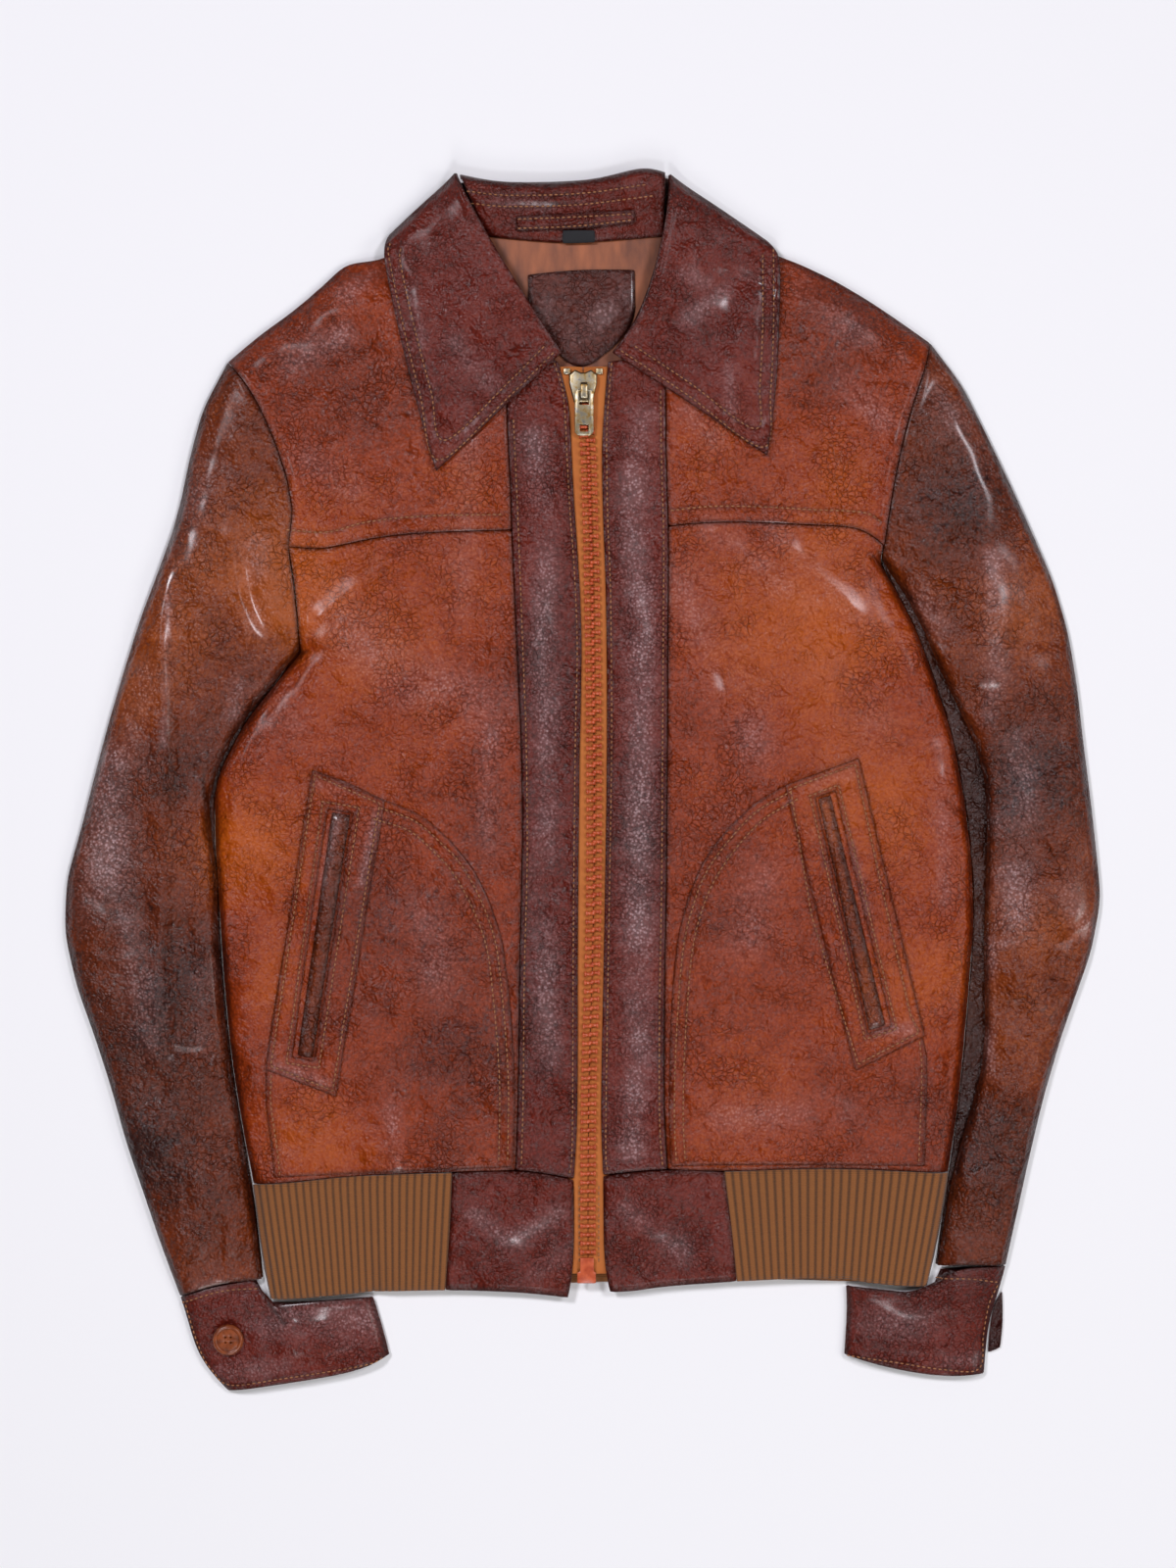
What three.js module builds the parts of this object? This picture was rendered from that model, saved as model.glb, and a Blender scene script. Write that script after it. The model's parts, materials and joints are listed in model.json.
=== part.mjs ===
// A worn leather blouson laid flat on its back and zipped up, seen from above in plan.
// Millimetres. +X is the viewer's right, +Y points to the collar, +Z up, and Z = 0 is the surface it lies on.
import * as THREE from 'three';

// Driving dimensions
const ZIP_LENGTH = 556;
const LEATHER = 1.6;
const LAID_ON = 1.4;
const BACK_THICKNESS = 1.8;
const COLLAR_THICKNESS = 2.2;
const KNIT_THICKNESS = 2.2;
const RIB_HEIGHT = 0.9;
const LINING = 1.0;
const TAPE_THICKNESS = 1.0;
const SEAM_HALF_GAP = 0.16;
const SEAT_GAP = 0.4;
const EDGE_Z = 1.2;
const LOWEST_OVER_BACK = 2.15;
const BODY_Z = 11.5;
const CUFF_Z = 9;
const ROLL_WIDTH = 16;
const EDGE_INSET = 0.5;
const FLOOR_EDGE_INSET = 0.65;
const GROOVE_INSET = 0.9;
const COLLAR_LIFT = 5;
const STAND_Z = 14;
const LINING_Z = 3.3;
const CHAIN_WIDTH = 9.6;
const CHAIN_HEIGHT = 2.4;
const TAPE_DROP = 2.1;
const TAPE_UNDER_PLACKET = 7;
const BUTTON_DIAMETER = 19;
const SLOPE_STEP = 0.6;

// The reference grid that the outlines are written in: one unit is a point of the photograph.
const ZIP_IN_GRID = 927;
const GRID = ZIP_LENGTH / ZIP_IN_GRID;
const GRID_CENTRE = [594.6, 795];
const place = (x, y) => [(x - GRID_CENTRE[0]) * GRID, (GRID_CENTRE[1] - y) * GRID];

const line = (...points) => new THREE.CatmullRomCurve3(
  points.map(([x, y]) => new THREE.Vector3(...place(x, y), 0)), false, 'centripetal');
const along = (curve, stations) => stations.map((t) => {
  const p = curve.getPointAt(t);
  return [p.x, p.y];
});
const even = (count) => Array.from({ length: count + 1 }, (_, i) => i / count);
const joined = (first, second) => [...first, ...second.slice(1)];

// Outlines of the left half, as the viewer sees it
const SHOULDER_LEFT = line([231, 368], [269, 336], [292, 320], [318, 302], [330, 284], [350, 268],
  [392, 262], [430, 246], [470, 232]);
const ARMHOLE_LEFT = line([231, 368], [252, 393], [272, 429], [287, 469], [297, 502], [299, 522], [294, 558]);
const UNDERARM_LEFT = line([294, 558], [299, 588], [302, 615], [304, 641], [306, 665]);
const SIDE_LEFT = line([306, 665], [275, 703], [244, 743], [225, 781], [214, 808], [215, 845], [222, 893],
  [223, 947], [228, 1011], [234, 1075], [244, 1139], [253, 1195], [257, 1209]);
const HEM_SIDE_LEFT = line([257, 1209], [262, 1250], [265, 1276], [269, 1310], [275, 1327]);
const SLEEVE_OUTER_LEFT = line([231, 368], [216, 389], [202, 426], [186, 492], [176, 542], [150, 605],
  [108, 740], [93, 797], [75, 868], [60, 925], [66, 963], [80, 1021], [104, 1084], [123, 1155],
  [152, 1240], [167, 1285], [182, 1324]);
const SLEEVE_INNER_LEFT = line([306, 665], [275, 703], [244, 743], [225, 781], [214, 808], [215, 845],
  [222, 893], [223, 947], [228, 1011], [234, 1075], [244, 1139], [253, 1195], [259, 1225], [263, 1260],
  [268, 1306]);
const NECKLINE_LEFT = line([470, 232], [486, 262], [505, 308], [516, 352]);
const PLACKET_TOP_SEAM_LEFT = line([516, 352], [517, 423], [520, 474], [522, 541]);
const PLACKET_SEAM_LEFT = line([522, 541], [528, 675], [532, 760], [533, 877], [530, 995], [529, 1112],
  [526, 1194]);
const YOKE_SEAM_LEFT = line([294, 558], [335, 560], [374, 550], [430, 544], [522, 541]);
const ZIP_EDGE_LEFT = line([570, 369], [580, 402], [584, 474], [587, 527], [591, 581], [594, 661],
  [592, 760], [590, 960], [589, 1160], [586, 1203]);
const PLACKET_TOP_LEFT = line([516, 352], [543, 358], [570, 369]);
const PLACKET_FOOT_LEFT = line([526, 1194], [556, 1197], [586, 1203]);
const HEM_LINE_LEFT = line([257, 1209], [300, 1206], [357, 1200], [460, 1196], [526, 1194]);
const KNIT_LINE_LEFT = line([257, 1209], [300, 1206], [357, 1200], [461, 1196]);
const TAB_LINE_LEFT = line([461, 1196], [526, 1194], [556, 1197], [586, 1203]);
const TAB_SIDE_LEFT = line([461, 1196], [459, 1250], [454, 1317]);
const TAB_ZIP_SIDE_LEFT = line([586, 1203], [586, 1275], [584, 1307], [580, 1325]);
const TAB_FOOT_LEFT = line([454, 1317], [500, 1318], [549, 1321], [580, 1325]);
const KNIT_FOOT_LEFT = line([275, 1327], [301, 1326], [381, 1319], [454, 1317]);
const CUFF_SEAM_LEFT = line([182, 1324], [224, 1311], [268, 1306]);
const CUFF_TOP_LEFT = line([182, 1324], [224, 1311], [266, 1308], [272, 1329], [301, 1329], [381, 1323]);
const CUFF_OUTER_LEFT = line([182, 1324], [192, 1356], [201, 1387], [210, 1399], [231, 1421]);
const CUFF_INNER_LEFT = line([381, 1323], [390, 1353], [398, 1383]);
const CUFF_FOOT_LEFT = line([231, 1421], [283, 1415], [369, 1401], [398, 1387]);
const POCKET_SIDE_LEFT = line([319, 785], [295, 938], [271, 1091], [271, 1127], [277, 1171], [280, 1202]);
const POCKET_CURVE_LEFT = line([394, 817], [428, 830], [457, 854], [478, 877], [498, 915], [513, 959],
  [519, 1009], [523, 1053], [526, 1112], [524, 1191]);
const POCKET_TOP_LEFT = line([319, 785], [357, 799], [394, 817]);
const POCKET_FOOT_LEFT = line([280, 1202], [357, 1198], [524, 1191]);
const FRAME_LEFT = [[319, 785], [394, 817], [344, 1119], [271, 1091]];
const SLIT_LEFT = [[335, 826], [360, 830], [321, 1081], [299, 1077]];
const ROLL_LINE_LEFT = line([464, 177], [498, 241], [531, 295], [574, 361]);
const WING_OUTER_LEFT = line([394, 241], [391, 254], [405, 330], [423, 405], [445, 482]);
const WING_TOP_LEFT = line([464, 177], [430, 207], [394, 241]);
const WING_FRONT_LEFT = line([574, 361], [515, 415], [445, 482]);

// Outlines of the right half
const SHOULDER_RIGHT = line([702, 232], [745, 244], [794, 258], [860, 288], [903, 315], [950, 348]);
const ARMHOLE_RIGHT = line([950, 348], [945, 373], [926, 429], [913, 489], [902, 557]);
const UNDERARM_RIGHT = line([902, 557], [900, 566], [900, 575]);
const SIDE_RIGHT = line([900, 575], [921, 611], [942, 655], [959, 704], [976, 760], [988, 829], [995, 899],
  [995, 957], [988, 1027], [982, 1107], [972, 1180], [969, 1197]);
const HEM_SIDE_RIGHT = line([969, 1197], [961, 1250], [953, 1300], [947, 1314]);
const SLEEVE_OUTER_RIGHT = line([950, 348], [969, 366], [993, 412], [1026, 479], [1059, 552], [1082, 608],
  [1097, 671], [1106, 746], [1119, 852], [1125, 931], [1110, 989], [1084, 1059], [1062, 1139],
  [1049, 1196], [1028, 1292]);
const SLEEVE_INNER_RIGHT = line([900, 575], [924, 609], [946, 653], [965, 700], [987, 742], [1001, 778],
  [1006, 836], [1003, 963], [1003, 1075], [988, 1139], [973, 1190], [964, 1240], [955.5, 1292]);
const BESIDE_HEM_LEFT = line([257, 1209], [263, 1260], [268, 1306]);
const BESIDE_HEM_RIGHT = line([969, 1197], [962, 1245], [955.5, 1292]);
const NECKLINE_RIGHT = line([702, 232], [694, 270], [684, 325], [679, 372]);
const PLACKET_TOP_SEAM_RIGHT = line([679, 372], [680, 474], [682, 537]);
const PLACKET_SEAM_RIGHT = line([682, 537], [682, 608], [681, 760], [680, 907], [678, 1024], [678, 1141],
  [681, 1193]);
const YOKE_SEAM_RIGHT = line([682, 537], [723, 533], [767, 533], [825, 536], [878, 540], [902, 557]);
const ZIP_EDGE_RIGHT = line([620, 369], [617, 407], [614, 447], [615, 527], [618, 608], [619, 760],
  [616, 960], [613, 1160], [615, 1199]);
const PLACKET_TOP_RIGHT = line([620, 369], [650, 366], [679, 372]);
const PLACKET_FOOT_RIGHT = line([615, 1199], [650, 1195], [681, 1193]);
const HEM_LINE_RIGHT = line([681, 1193], [739, 1195], [845, 1192], [969, 1197]);
const KNIT_LINE_RIGHT = line([739, 1195], [845, 1192], [969, 1197]);
const TAB_LINE_RIGHT = line([615, 1199], [650, 1195], [681, 1193], [739, 1195]);
const TAB_SIDE_RIGHT = line([739, 1195], [744, 1229], [752, 1308]);
const TAB_ZIP_SIDE_RIGHT = line([615, 1199], [616, 1275], [617, 1298], [622, 1319]);
const TAB_FOOT_RIGHT = line([622, 1319], [640, 1319], [672, 1314], [752, 1308]);
const KNIT_FOOT_RIGHT = line([752, 1308], [840, 1305], [911, 1312], [947, 1314]);
const CUFF_SEAM_RIGHT = line([955.5, 1292], [990, 1291], [1028, 1292]);
const CUFF_TOP_RIGHT = line([863, 1312], [911, 1317], [949, 1319], [958, 1296], [990, 1293], [1028, 1292]);
const CUFF_OUTER_RIGHT = line([1028, 1292], [1022, 1317], [1015, 1331], [1009, 1365], [1006, 1403]);
const CUFF_INNER_RIGHT = line([863, 1312], [864, 1328], [863, 1356], [861, 1383]);
const CUFF_FOOT_RIGHT = line([861, 1383], [911, 1397], [965, 1405], [1006, 1403]);
const FLAP_RIGHT = [[1016, 1331], [1024, 1319], [1025, 1350], [1022, 1377], [1009.4, 1382], [1011.4, 1352]];
const POCKET_SIDE_RIGHT = line([876, 773], [898, 877], [933, 1033], [944, 1058], [946, 1097], [943, 1190]);
const POCKET_CURVE_RIGHT = line([800, 801], [766, 822], [737, 851], [713, 886], [699, 924], [690, 965],
  [685, 1024], [683, 1083], [682, 1141], [684, 1190]);
const POCKET_TOP_RIGHT = line([800, 801], [838, 787], [876, 773]);
const POCKET_FOOT_RIGHT = line([684, 1190], [800, 1189], [943, 1190]);
const FRAME_RIGHT = [[800, 801], [876, 773], [944, 1057], [872, 1093]];
const SLIT_RIGHT = [[832, 814], [851, 808], [908, 1046], [885, 1053]];
const ROLL_LINE_RIGHT = line([684, 178], [677, 236], [649, 328], [624, 361]);
const WING_OUTER_RIGHT = line([787, 247], [795, 262], [795, 330], [792, 400], [783, 466]);
const WING_TOP_RIGHT = line([684, 178], [736, 212], [787, 247]);
const WING_FRONT_RIGHT = line([624, 361], [700, 410], [783, 466]);

// Neck and zip
const STAND_TOP = line([470, 179], [506, 186], [526, 187], [604, 184], [661, 172], [679, 177]);
const STAND_FOOT = line([494, 240], [520, 243], [574, 247], [607, 246], [677, 240]);
const LEAF_TOP = line([396, 244], [430, 212.5], [465, 180], [506, 189], [604, 187], [663, 174], [684, 178.5],
  [736, 214], [785, 249]);
const LEAF_FOOT = line([400, 257.2], [470, 230.2], [500, 238.4], [590, 241.4], [672, 238.4], [702, 230.2],
  [745, 242.2], [786, 254.2]);
const LINING_TOP = line([492, 237], [574, 243], [607, 242], [682, 237]);
const LINING_FOOT = line([562, 392], [600, 396], [640, 392]);
const LINING_SIDE_LEFT = line([492, 237], [520, 310], [562, 392]);
const LINING_SIDE_RIGHT = line([682, 237], [668, 310], [640, 392]);
const PATCH_TOP = line([538, 279], [590, 274], [648, 274]);
const PATCH_SIDE_LEFT = line([538, 279], [542, 325], [560, 352]);
const PATCH_SIDE_RIGHT = line([648, 274], [646, 328], [628, 352]);
const PATCH_FOOT = line([560, 352], [592, 376], [628, 352]);
const LOOP_TOP = line([526, 221], [590, 218], [648, 215]);
const LOOP_FOOT = line([526, 236], [590, 234], [648, 228]);
const LOOP_END_LEFT = line([526, 221], [526, 236]);
const LOOP_END_RIGHT = line([648, 215], [648, 228]);
const TAG_CORNERS = [[574, 235], [607, 235], [607, 247], [574, 248]];
const CHAIN_CENTRE = line([595, 414], [600, 460], [604, 600], [606, 760], [606, 900], [604, 1000],
  [601, 1100], [600, 1200], [600, 1281]);
const TAPE_TOP_Y = 374;
const TAPE_FOOT_Y = 1300;

// Broad swellings and folds: a centre line, how high it stands and how wide it spreads
const SLEEVE_SWELL = 3.2;
const FRONT_SWELL = 1.2;
const SWELLS = [
  { path: line([238, 470], [190, 640], [150, 780], [140, 925], [160, 1080], [205, 1250]),
    high: SLEEVE_SWELL, wide: 30 },
  { path: line([960, 450], [1020, 600], [1058, 760], [1066, 925], [1045, 1080], [1005, 1250]),
    high: SLEEVE_SWELL, wide: 30 },
  { path: line([345, 620], [330, 900], [360, 1150]), high: FRONT_SWELL, wide: 45 },
  { path: line([850, 620], [880, 900], [850, 1150]), high: FRONT_SWELL, wide: 45 },
];
const FOLDS = [
  { path: line([176, 545], [166, 640], [168, 740], [168, 900], [164, 1100]), high: 1.6, wide: 9 },
  { path: line([312, 645], [365, 600], [425, 556]), high: 1.7, wide: 9 },
  { path: line([322, 304], [360, 322], [404, 338]), high: 2, wide: 8 },
  { path: line([728, 548], [775, 580], [822, 612]), high: 1.4, wide: 9 },
  { path: line([792, 550], [838, 592], [880, 632]), high: 1.4, wide: 9 },
  { path: line([918, 560], [960, 600], [1010, 622]), high: 1.8, wide: 9 },
  { path: line([948, 660], [990, 690], [1040, 700]), high: 1.6, wide: 9 },
  { path: line([1030, 980], [1070, 970], [1110, 950]), high: 1.4, wide: 8 },
];
const POCKET_FOLDS = [
  { path: line([416, 1100], [410, 1192]), high: 2, wide: 9 },
  { path: line([440, 1106], [456, 1188]), high: 1.6, wide: 8 },
];

// Edges where the cloth turns down to the layer below
const ROLLED = [SHOULDER_LEFT, SIDE_LEFT, HEM_SIDE_LEFT, SLEEVE_OUTER_LEFT, CUFF_OUTER_LEFT, CUFF_INNER_LEFT,
  SHOULDER_RIGHT, SIDE_RIGHT, HEM_SIDE_RIGHT, SLEEVE_OUTER_RIGHT, SLEEVE_INNER_RIGHT, CUFF_OUTER_RIGHT,
  CUFF_INNER_RIGHT].map((curve) => along(curve, even(36)));
for (const fold of [...SWELLS, ...FOLDS, ...POCKET_FOLDS]) {
  fold.points = along(fold.path, even(12));
}

function distanceTo(points, x, y) {
  let best = Infinity;
  for (let i = 1; i < points.length; i += 1) {
    const [ax, ay] = points[i - 1];
    const dx = points[i][0] - ax;
    const dy = points[i][1] - ay;
    const t = THREE.MathUtils.clamp(((x - ax) * dx + (y - ay) * dy) / (dx * dx + dy * dy), 0, 1);
    best = Math.min(best, Math.hypot(x - ax - t * dx, y - ay - t * dy));
  }
  return best;
}

const swell = (folds, x, y) => folds.reduce(
  (sum, fold) => sum + fold.high * Math.exp(-((distanceTo(fold.points, x, y) / fold.wide) ** 2)), 0);

// The outer face of the upper layer: high inside, lower towards the cuffs, and down to the floor layer along
// every rolled edge
const LOWERING_FROM = 1270;
const LOWERING_TO = 1340;
function upper(x, y) {
  const nearest = Math.min(...ROLLED.map((points) => distanceTo(points, x, y)));
  const inside = 1 - Math.min(nearest / ROLL_WIDTH, 1);
  const towardsCuff = THREE.MathUtils.smoothstep(-y, -place(0, LOWERING_FROM)[1], -place(0, LOWERING_TO)[1]);
  const crown = THREE.MathUtils.lerp(BODY_Z, CUFF_Z, towardsCuff) + swell(SWELLS, x, y);
  return EDGE_Z + (crown - EDGE_Z) * Math.sqrt(Math.max(1 - inside * inside, 0));
}
const folded = (x, y) => upper(x, y) + swell(FOLDS, x, y) * (upper(x, y) - EDGE_Z) / (BODY_Z - EDGE_Z);

// A grid of plan points between four edges, each given as its points; rows run from the top edge down
function patch(top, right, bottom, left, inset = {}) {
  const share = (a, b) => {
    const steps = [a, b].map((points) => {
      const sums = [0];
      for (let i = 1; i < points.length; i += 1) {
        sums.push(sums[i - 1] + Math.hypot(points[i][0] - points[i - 1][0], points[i][1] - points[i - 1][1]));
      }
      return sums.map((s) => s / sums[sums.length - 1]);
    });
    return steps[0].map((s, i) => (s + steps[1][i]) / 2);
  };
  const us = share(top, bottom);
  const vs = share(left, right);
  const grid = vs.map((v, j) => us.map((u, i) => [0, 1].map((k) => (
    (1 - v) * top[i][k] + v * bottom[i][k] + (1 - u) * left[j][k] + u * right[j][k]
    - (1 - u) * (1 - v) * top[0][k] - u * (1 - v) * top[us.length - 1][k]
    - (1 - u) * v * bottom[0][k] - u * v * bottom[us.length - 1][k]))));
  return insetEdges(grid, inset);
}

// Moves the points of each edge inwards, square to that edge
function insetEdges(grid, inset) {
  const plain = { top: SEAM_HALF_GAP, right: SEAM_HALF_GAP, bottom: SEAM_HALF_GAP, left: SEAM_HALF_GAP };
  const { top, right, bottom, left } = { ...plain, ...inset };
  const rows = grid.length;
  const columns = grid[0].length;
  const moved = grid.map((row) => row.map((p) => [...p]));
  const push = (j, i, back, ahead, inner, far) => {
    const tangent = [ahead[0] - back[0], ahead[1] - back[1]];
    const length = Math.hypot(...tangent);
    const normal = [-tangent[1] / length, tangent[0] / length];
    const side = Math.sign(normal[0] * (inner[0] - grid[j][i][0]) + normal[1] * (inner[1] - grid[j][i][1]));
    moved[j][i][0] += side * far * normal[0];
    moved[j][i][1] += side * far * normal[1];
  };
  const last = [rows - 1, columns - 1];
  for (let i = 0; i < columns; i += 1) {
    const [back, ahead] = [Math.max(i - 1, 0), Math.min(i + 1, last[1])];
    push(0, i, grid[0][back], grid[0][ahead], grid[1][i], top);
    push(last[0], i, grid[last[0]][back], grid[last[0]][ahead], grid[last[0] - 1][i], bottom);
  }
  for (let j = 0; j < rows; j += 1) {
    const [back, ahead] = [Math.max(j - 1, 0), Math.min(j + 1, last[0])];
    push(j, 0, grid[back][0], grid[ahead][0], grid[j][1], left);
    push(j, last[1], grid[back][last[1]], grid[ahead][last[1]], grid[j][last[1] - 1], right);
  }
  return moved;
}

// A closed wall: the outer points, and inner ones set back square to the plain surface
function wall(plain, thickness, { raise = () => 0, ring = false, slope = null, lowest = 0 } = {}) {
  const rows = plain.length;
  const columns = plain[0].length;
  const next = (i) => (ring ? (i + 1) % columns : Math.min(i + 1, columns - 1));
  const before = (i) => (ring ? (i + columns - 1) % columns : Math.max(i - 1, 0));
  const normals = plain.map((row, j) => row.map((_, i) => {
    const across = new THREE.Vector3().subVectors(row[next(i)], row[before(i)]);
    const [above, below] = [Math.max(j - 1, 0), Math.min(j + 1, rows - 1)];
    const down = new THREE.Vector3().subVectors(plain[below][i], plain[above][i]);
    return slope ? slope(plain[j][i]) : down.cross(across).normalize();
  }));
  const upright = Math.sign(normals.flat().reduce((sum, n) => sum + n.z, 0)) || 1;
  normals.flat().forEach((n) => n.multiplyScalar(upright));
  const offset = (far) => plain.map(
    (row, j) => row.map((p, i) => p.clone().addScaledVector(normals[j][i], far(j, i))));
  const outer = offset(raise);
  const inner = offset(() => -thickness);
  inner.flat().forEach((p) => p.setZ(Math.max(p.z, lowest)));
  const positions = [...outer.flat(), ...inner.flat()].flatMap((p) => p.toArray());
  const top = (j, i) => j * columns + i;
  const under = (j, i) => rows * columns + j * columns + i;
  const faces = [];
  const quad = (a, b, c, d) => faces.push(a, b, c, a, c, d);
  const cells = ring ? columns : columns - 1;
  for (let j = 0; j < rows - 1; j += 1) {
    for (let i = 0; i < cells; i += 1) {
      quad(top(j, i), top(j + 1, i), top(j + 1, next(i)), top(j, next(i)));
      quad(under(j, i), under(j, next(i)), under(j + 1, next(i)), under(j + 1, i));
    }
  }
  for (let i = 0; i < cells; i += 1) {
    quad(top(0, i), top(0, next(i)), under(0, next(i)), under(0, i));
    quad(top(rows - 1, next(i)), top(rows - 1, i), under(rows - 1, i), under(rows - 1, next(i)));
  }
  if (!ring) {
    for (let j = 0; j < rows - 1; j += 1) {
      quad(top(j + 1, 0), top(j, 0), under(j, 0), under(j + 1, 0));
      quad(top(j, columns - 1), top(j + 1, columns - 1), under(j + 1, columns - 1), under(j, columns - 1));
    }
  }
  if (upright < 0) {
    for (let k = 0; k < faces.length; k += 3) {
      [faces[k], faces[k + 1]] = [faces[k + 1], faces[k]];
    }
  }
  const geometry = new THREE.BufferGeometry();
  geometry.setAttribute('position', new THREE.Float32BufferAttribute(positions, 3));
  geometry.setIndex(faces);
  geometry.computeVertexNormals();
  return geometry;
}

const raised = (plan, height) => plan.map(
  (row, j) => row.map(([x, y], i) => new THREE.Vector3(x, y, height(x, y, i, j))));

// Colours and finishes
const FINISHES = {
  bodyLeather: { color: 0x8a3f1c, roughness: 0.42 },
  darkLeather: { color: 0x5c2a20, roughness: 0.4 },
  sleeveLeather: { color: 0x6d321b, roughness: 0.38 },
  knit: { color: 0x7d4d22, roughness: 0.9 },
  lining: { color: 0x9a5a30, roughness: 0.5 },
  tape: { color: 0xb5692f, roughness: 0.85 },
  teeth: { color: 0xc0582e, roughness: 0.4 },
  brass: { color: 0xb9a06a, roughness: 0.3, metalness: 1 },
  tag: { color: 0x1c1c20, roughness: 0.8 },
  button: { color: 0x8f4520, roughness: 0.3 },
};

const jacket = new THREE.Group();
function add(name, geometry, finish) {
  const mesh = new THREE.Mesh(geometry, new THREE.MeshStandardMaterial(FINISHES[finish]));
  mesh.name = name;
  jacket.add(mesh);
  return mesh;
}
function cloth(name, plan, height, thickness, finish, options = {}) {
  const slope = height.length > 2 ? null : ({ x, y }) => new THREE.Vector3(
    height(x - SLOPE_STEP, y) - height(x + SLOPE_STEP, y),
    height(x, y - SLOPE_STEP) - height(x, y + SLOPE_STEP),
    2 * SLOPE_STEP).normalize();
  const lowest = height === upper || height === folded ? LOWEST_OVER_BACK : 0;
  return add(name, wall(raised(plan, height), thickness, { slope, lowest, ...options }), finish);
}

// Stations along the edges: closer together where the cloth turns down
const YOKE_ROWS = [0, 0.05, 0.13, 0.26, 0.45, 0.65, 0.83, 1];
const UNDERARM_ROWS_LEFT = [0, 0.35, 0.62, 0.82, 0.94, 1];
const UNDERARM_ROWS_RIGHT = [0, 0.5, 1];
const SLEEVE_ROWS_RIGHT = [0, 0.04, 0.11, 0.22, 0.36, 0.52, 0.68, 0.81, 0.91, 1];
const SIDE_ROWS = [0, 0.07, 0.16, 0.28, 0.4, 0.52, 0.64, 0.76, 0.88, 1];
const SIDE_ROWS_RIGHT = [0, 0.06, 0.12, 0.2, 0.3, 0.4, 0.5, 0.6, 0.7, 0.8, 0.9, 1];
const FRONT_COLUMNS = [0, 0.02, 0.05, 0.1, 0.17, 0.28, 0.42, 0.56, 0.7, 0.85, 1];
const MIRRORED_COLUMNS = FRONT_COLUMNS.map((u) => 1 - u).reverse();
const SLEEVE_ROWS = even(18);

const armholeLeft = joined(along(ARMHOLE_LEFT, YOKE_ROWS), along(UNDERARM_LEFT, UNDERARM_ROWS_LEFT));
const armholeRight = joined(
  along(ARMHOLE_RIGHT, SLEEVE_ROWS_RIGHT), along(UNDERARM_RIGHT, UNDERARM_ROWS_RIGHT));
const reversed = (points) => [...points].reverse();

// Shared points of an edge that is followed at the same shares as another
function alike(curve, points) {
  const sums = [0];
  for (let i = 1; i < points.length; i += 1) {
    sums.push(sums[i - 1] + Math.hypot(points[i][0] - points[i - 1][0], points[i][1] - points[i - 1][1]));
  }
  return along(curve, sums.map((s) => Math.min(s / sums[sums.length - 1], 1)));
}

// Front yokes, under the collar from the shoulder to the chest seam
function yokes() {
  const neckLeft = joined(along(NECKLINE_LEFT, even(3)), along(PLACKET_TOP_SEAM_LEFT, even(4)));
  const neckRight = joined(along(NECKLINE_RIGHT, even(4)), along(PLACKET_TOP_SEAM_RIGHT, even(5)));
  const edges = { top: EDGE_INSET };
  cloth('yoke_left', patch(along(SHOULDER_LEFT, FRONT_COLUMNS), neckLeft,
    along(YOKE_SEAM_LEFT, FRONT_COLUMNS), along(ARMHOLE_LEFT, YOKE_ROWS), edges),
  folded, LEATHER, 'bodyLeather');
  cloth('yoke_right', patch(along(SHOULDER_RIGHT, MIRRORED_COLUMNS), along(ARMHOLE_RIGHT, SLEEVE_ROWS_RIGHT),
    along(YOKE_SEAM_RIGHT, MIRRORED_COLUMNS), neckRight, edges), folded, LEATHER, 'bodyLeather');
}

// Front panels, from the chest seam to the hem
function fronts() {
  const outerLeft = joined(along(UNDERARM_LEFT, UNDERARM_ROWS_LEFT), along(SIDE_LEFT, SIDE_ROWS));
  const outerRight = joined(along(UNDERARM_RIGHT, UNDERARM_ROWS_RIGHT), along(SIDE_RIGHT, SIDE_ROWS_RIGHT));
  cloth('front_left', patch(along(YOKE_SEAM_LEFT, FRONT_COLUMNS), alike(PLACKET_SEAM_LEFT, outerLeft),
    along(HEM_LINE_LEFT, FRONT_COLUMNS), outerLeft, { left: EDGE_INSET }), folded, LEATHER, 'bodyLeather');
  cloth('front_right', patch(along(YOKE_SEAM_RIGHT, MIRRORED_COLUMNS), outerRight,
    along(HEM_LINE_RIGHT, MIRRORED_COLUMNS), alike(PLACKET_SEAM_RIGHT, outerRight), { right: EDGE_INSET }),
  folded, LEATHER, 'bodyLeather');
}

// Zip plackets, from the neck to the hem
function plackets() {
  const seamLeft = joined(along(PLACKET_TOP_SEAM_LEFT, even(4)), along(PLACKET_SEAM_LEFT, even(12)));
  const seamRight = joined(along(PLACKET_TOP_SEAM_RIGHT, even(4)), along(PLACKET_SEAM_RIGHT, even(12)));
  cloth('placket_left', patch(along(PLACKET_TOP_LEFT, even(3)), alike(ZIP_EDGE_LEFT, seamLeft),
    along(PLACKET_FOOT_LEFT, even(3)), seamLeft), upper, LEATHER, 'darkLeather');
  cloth('placket_right', patch(along(PLACKET_TOP_RIGHT, even(3)), seamRight,
    along(PLACKET_FOOT_RIGHT, even(3)), alike(ZIP_EDGE_RIGHT, seamRight)), upper, LEATHER, 'darkLeather');
}

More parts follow.
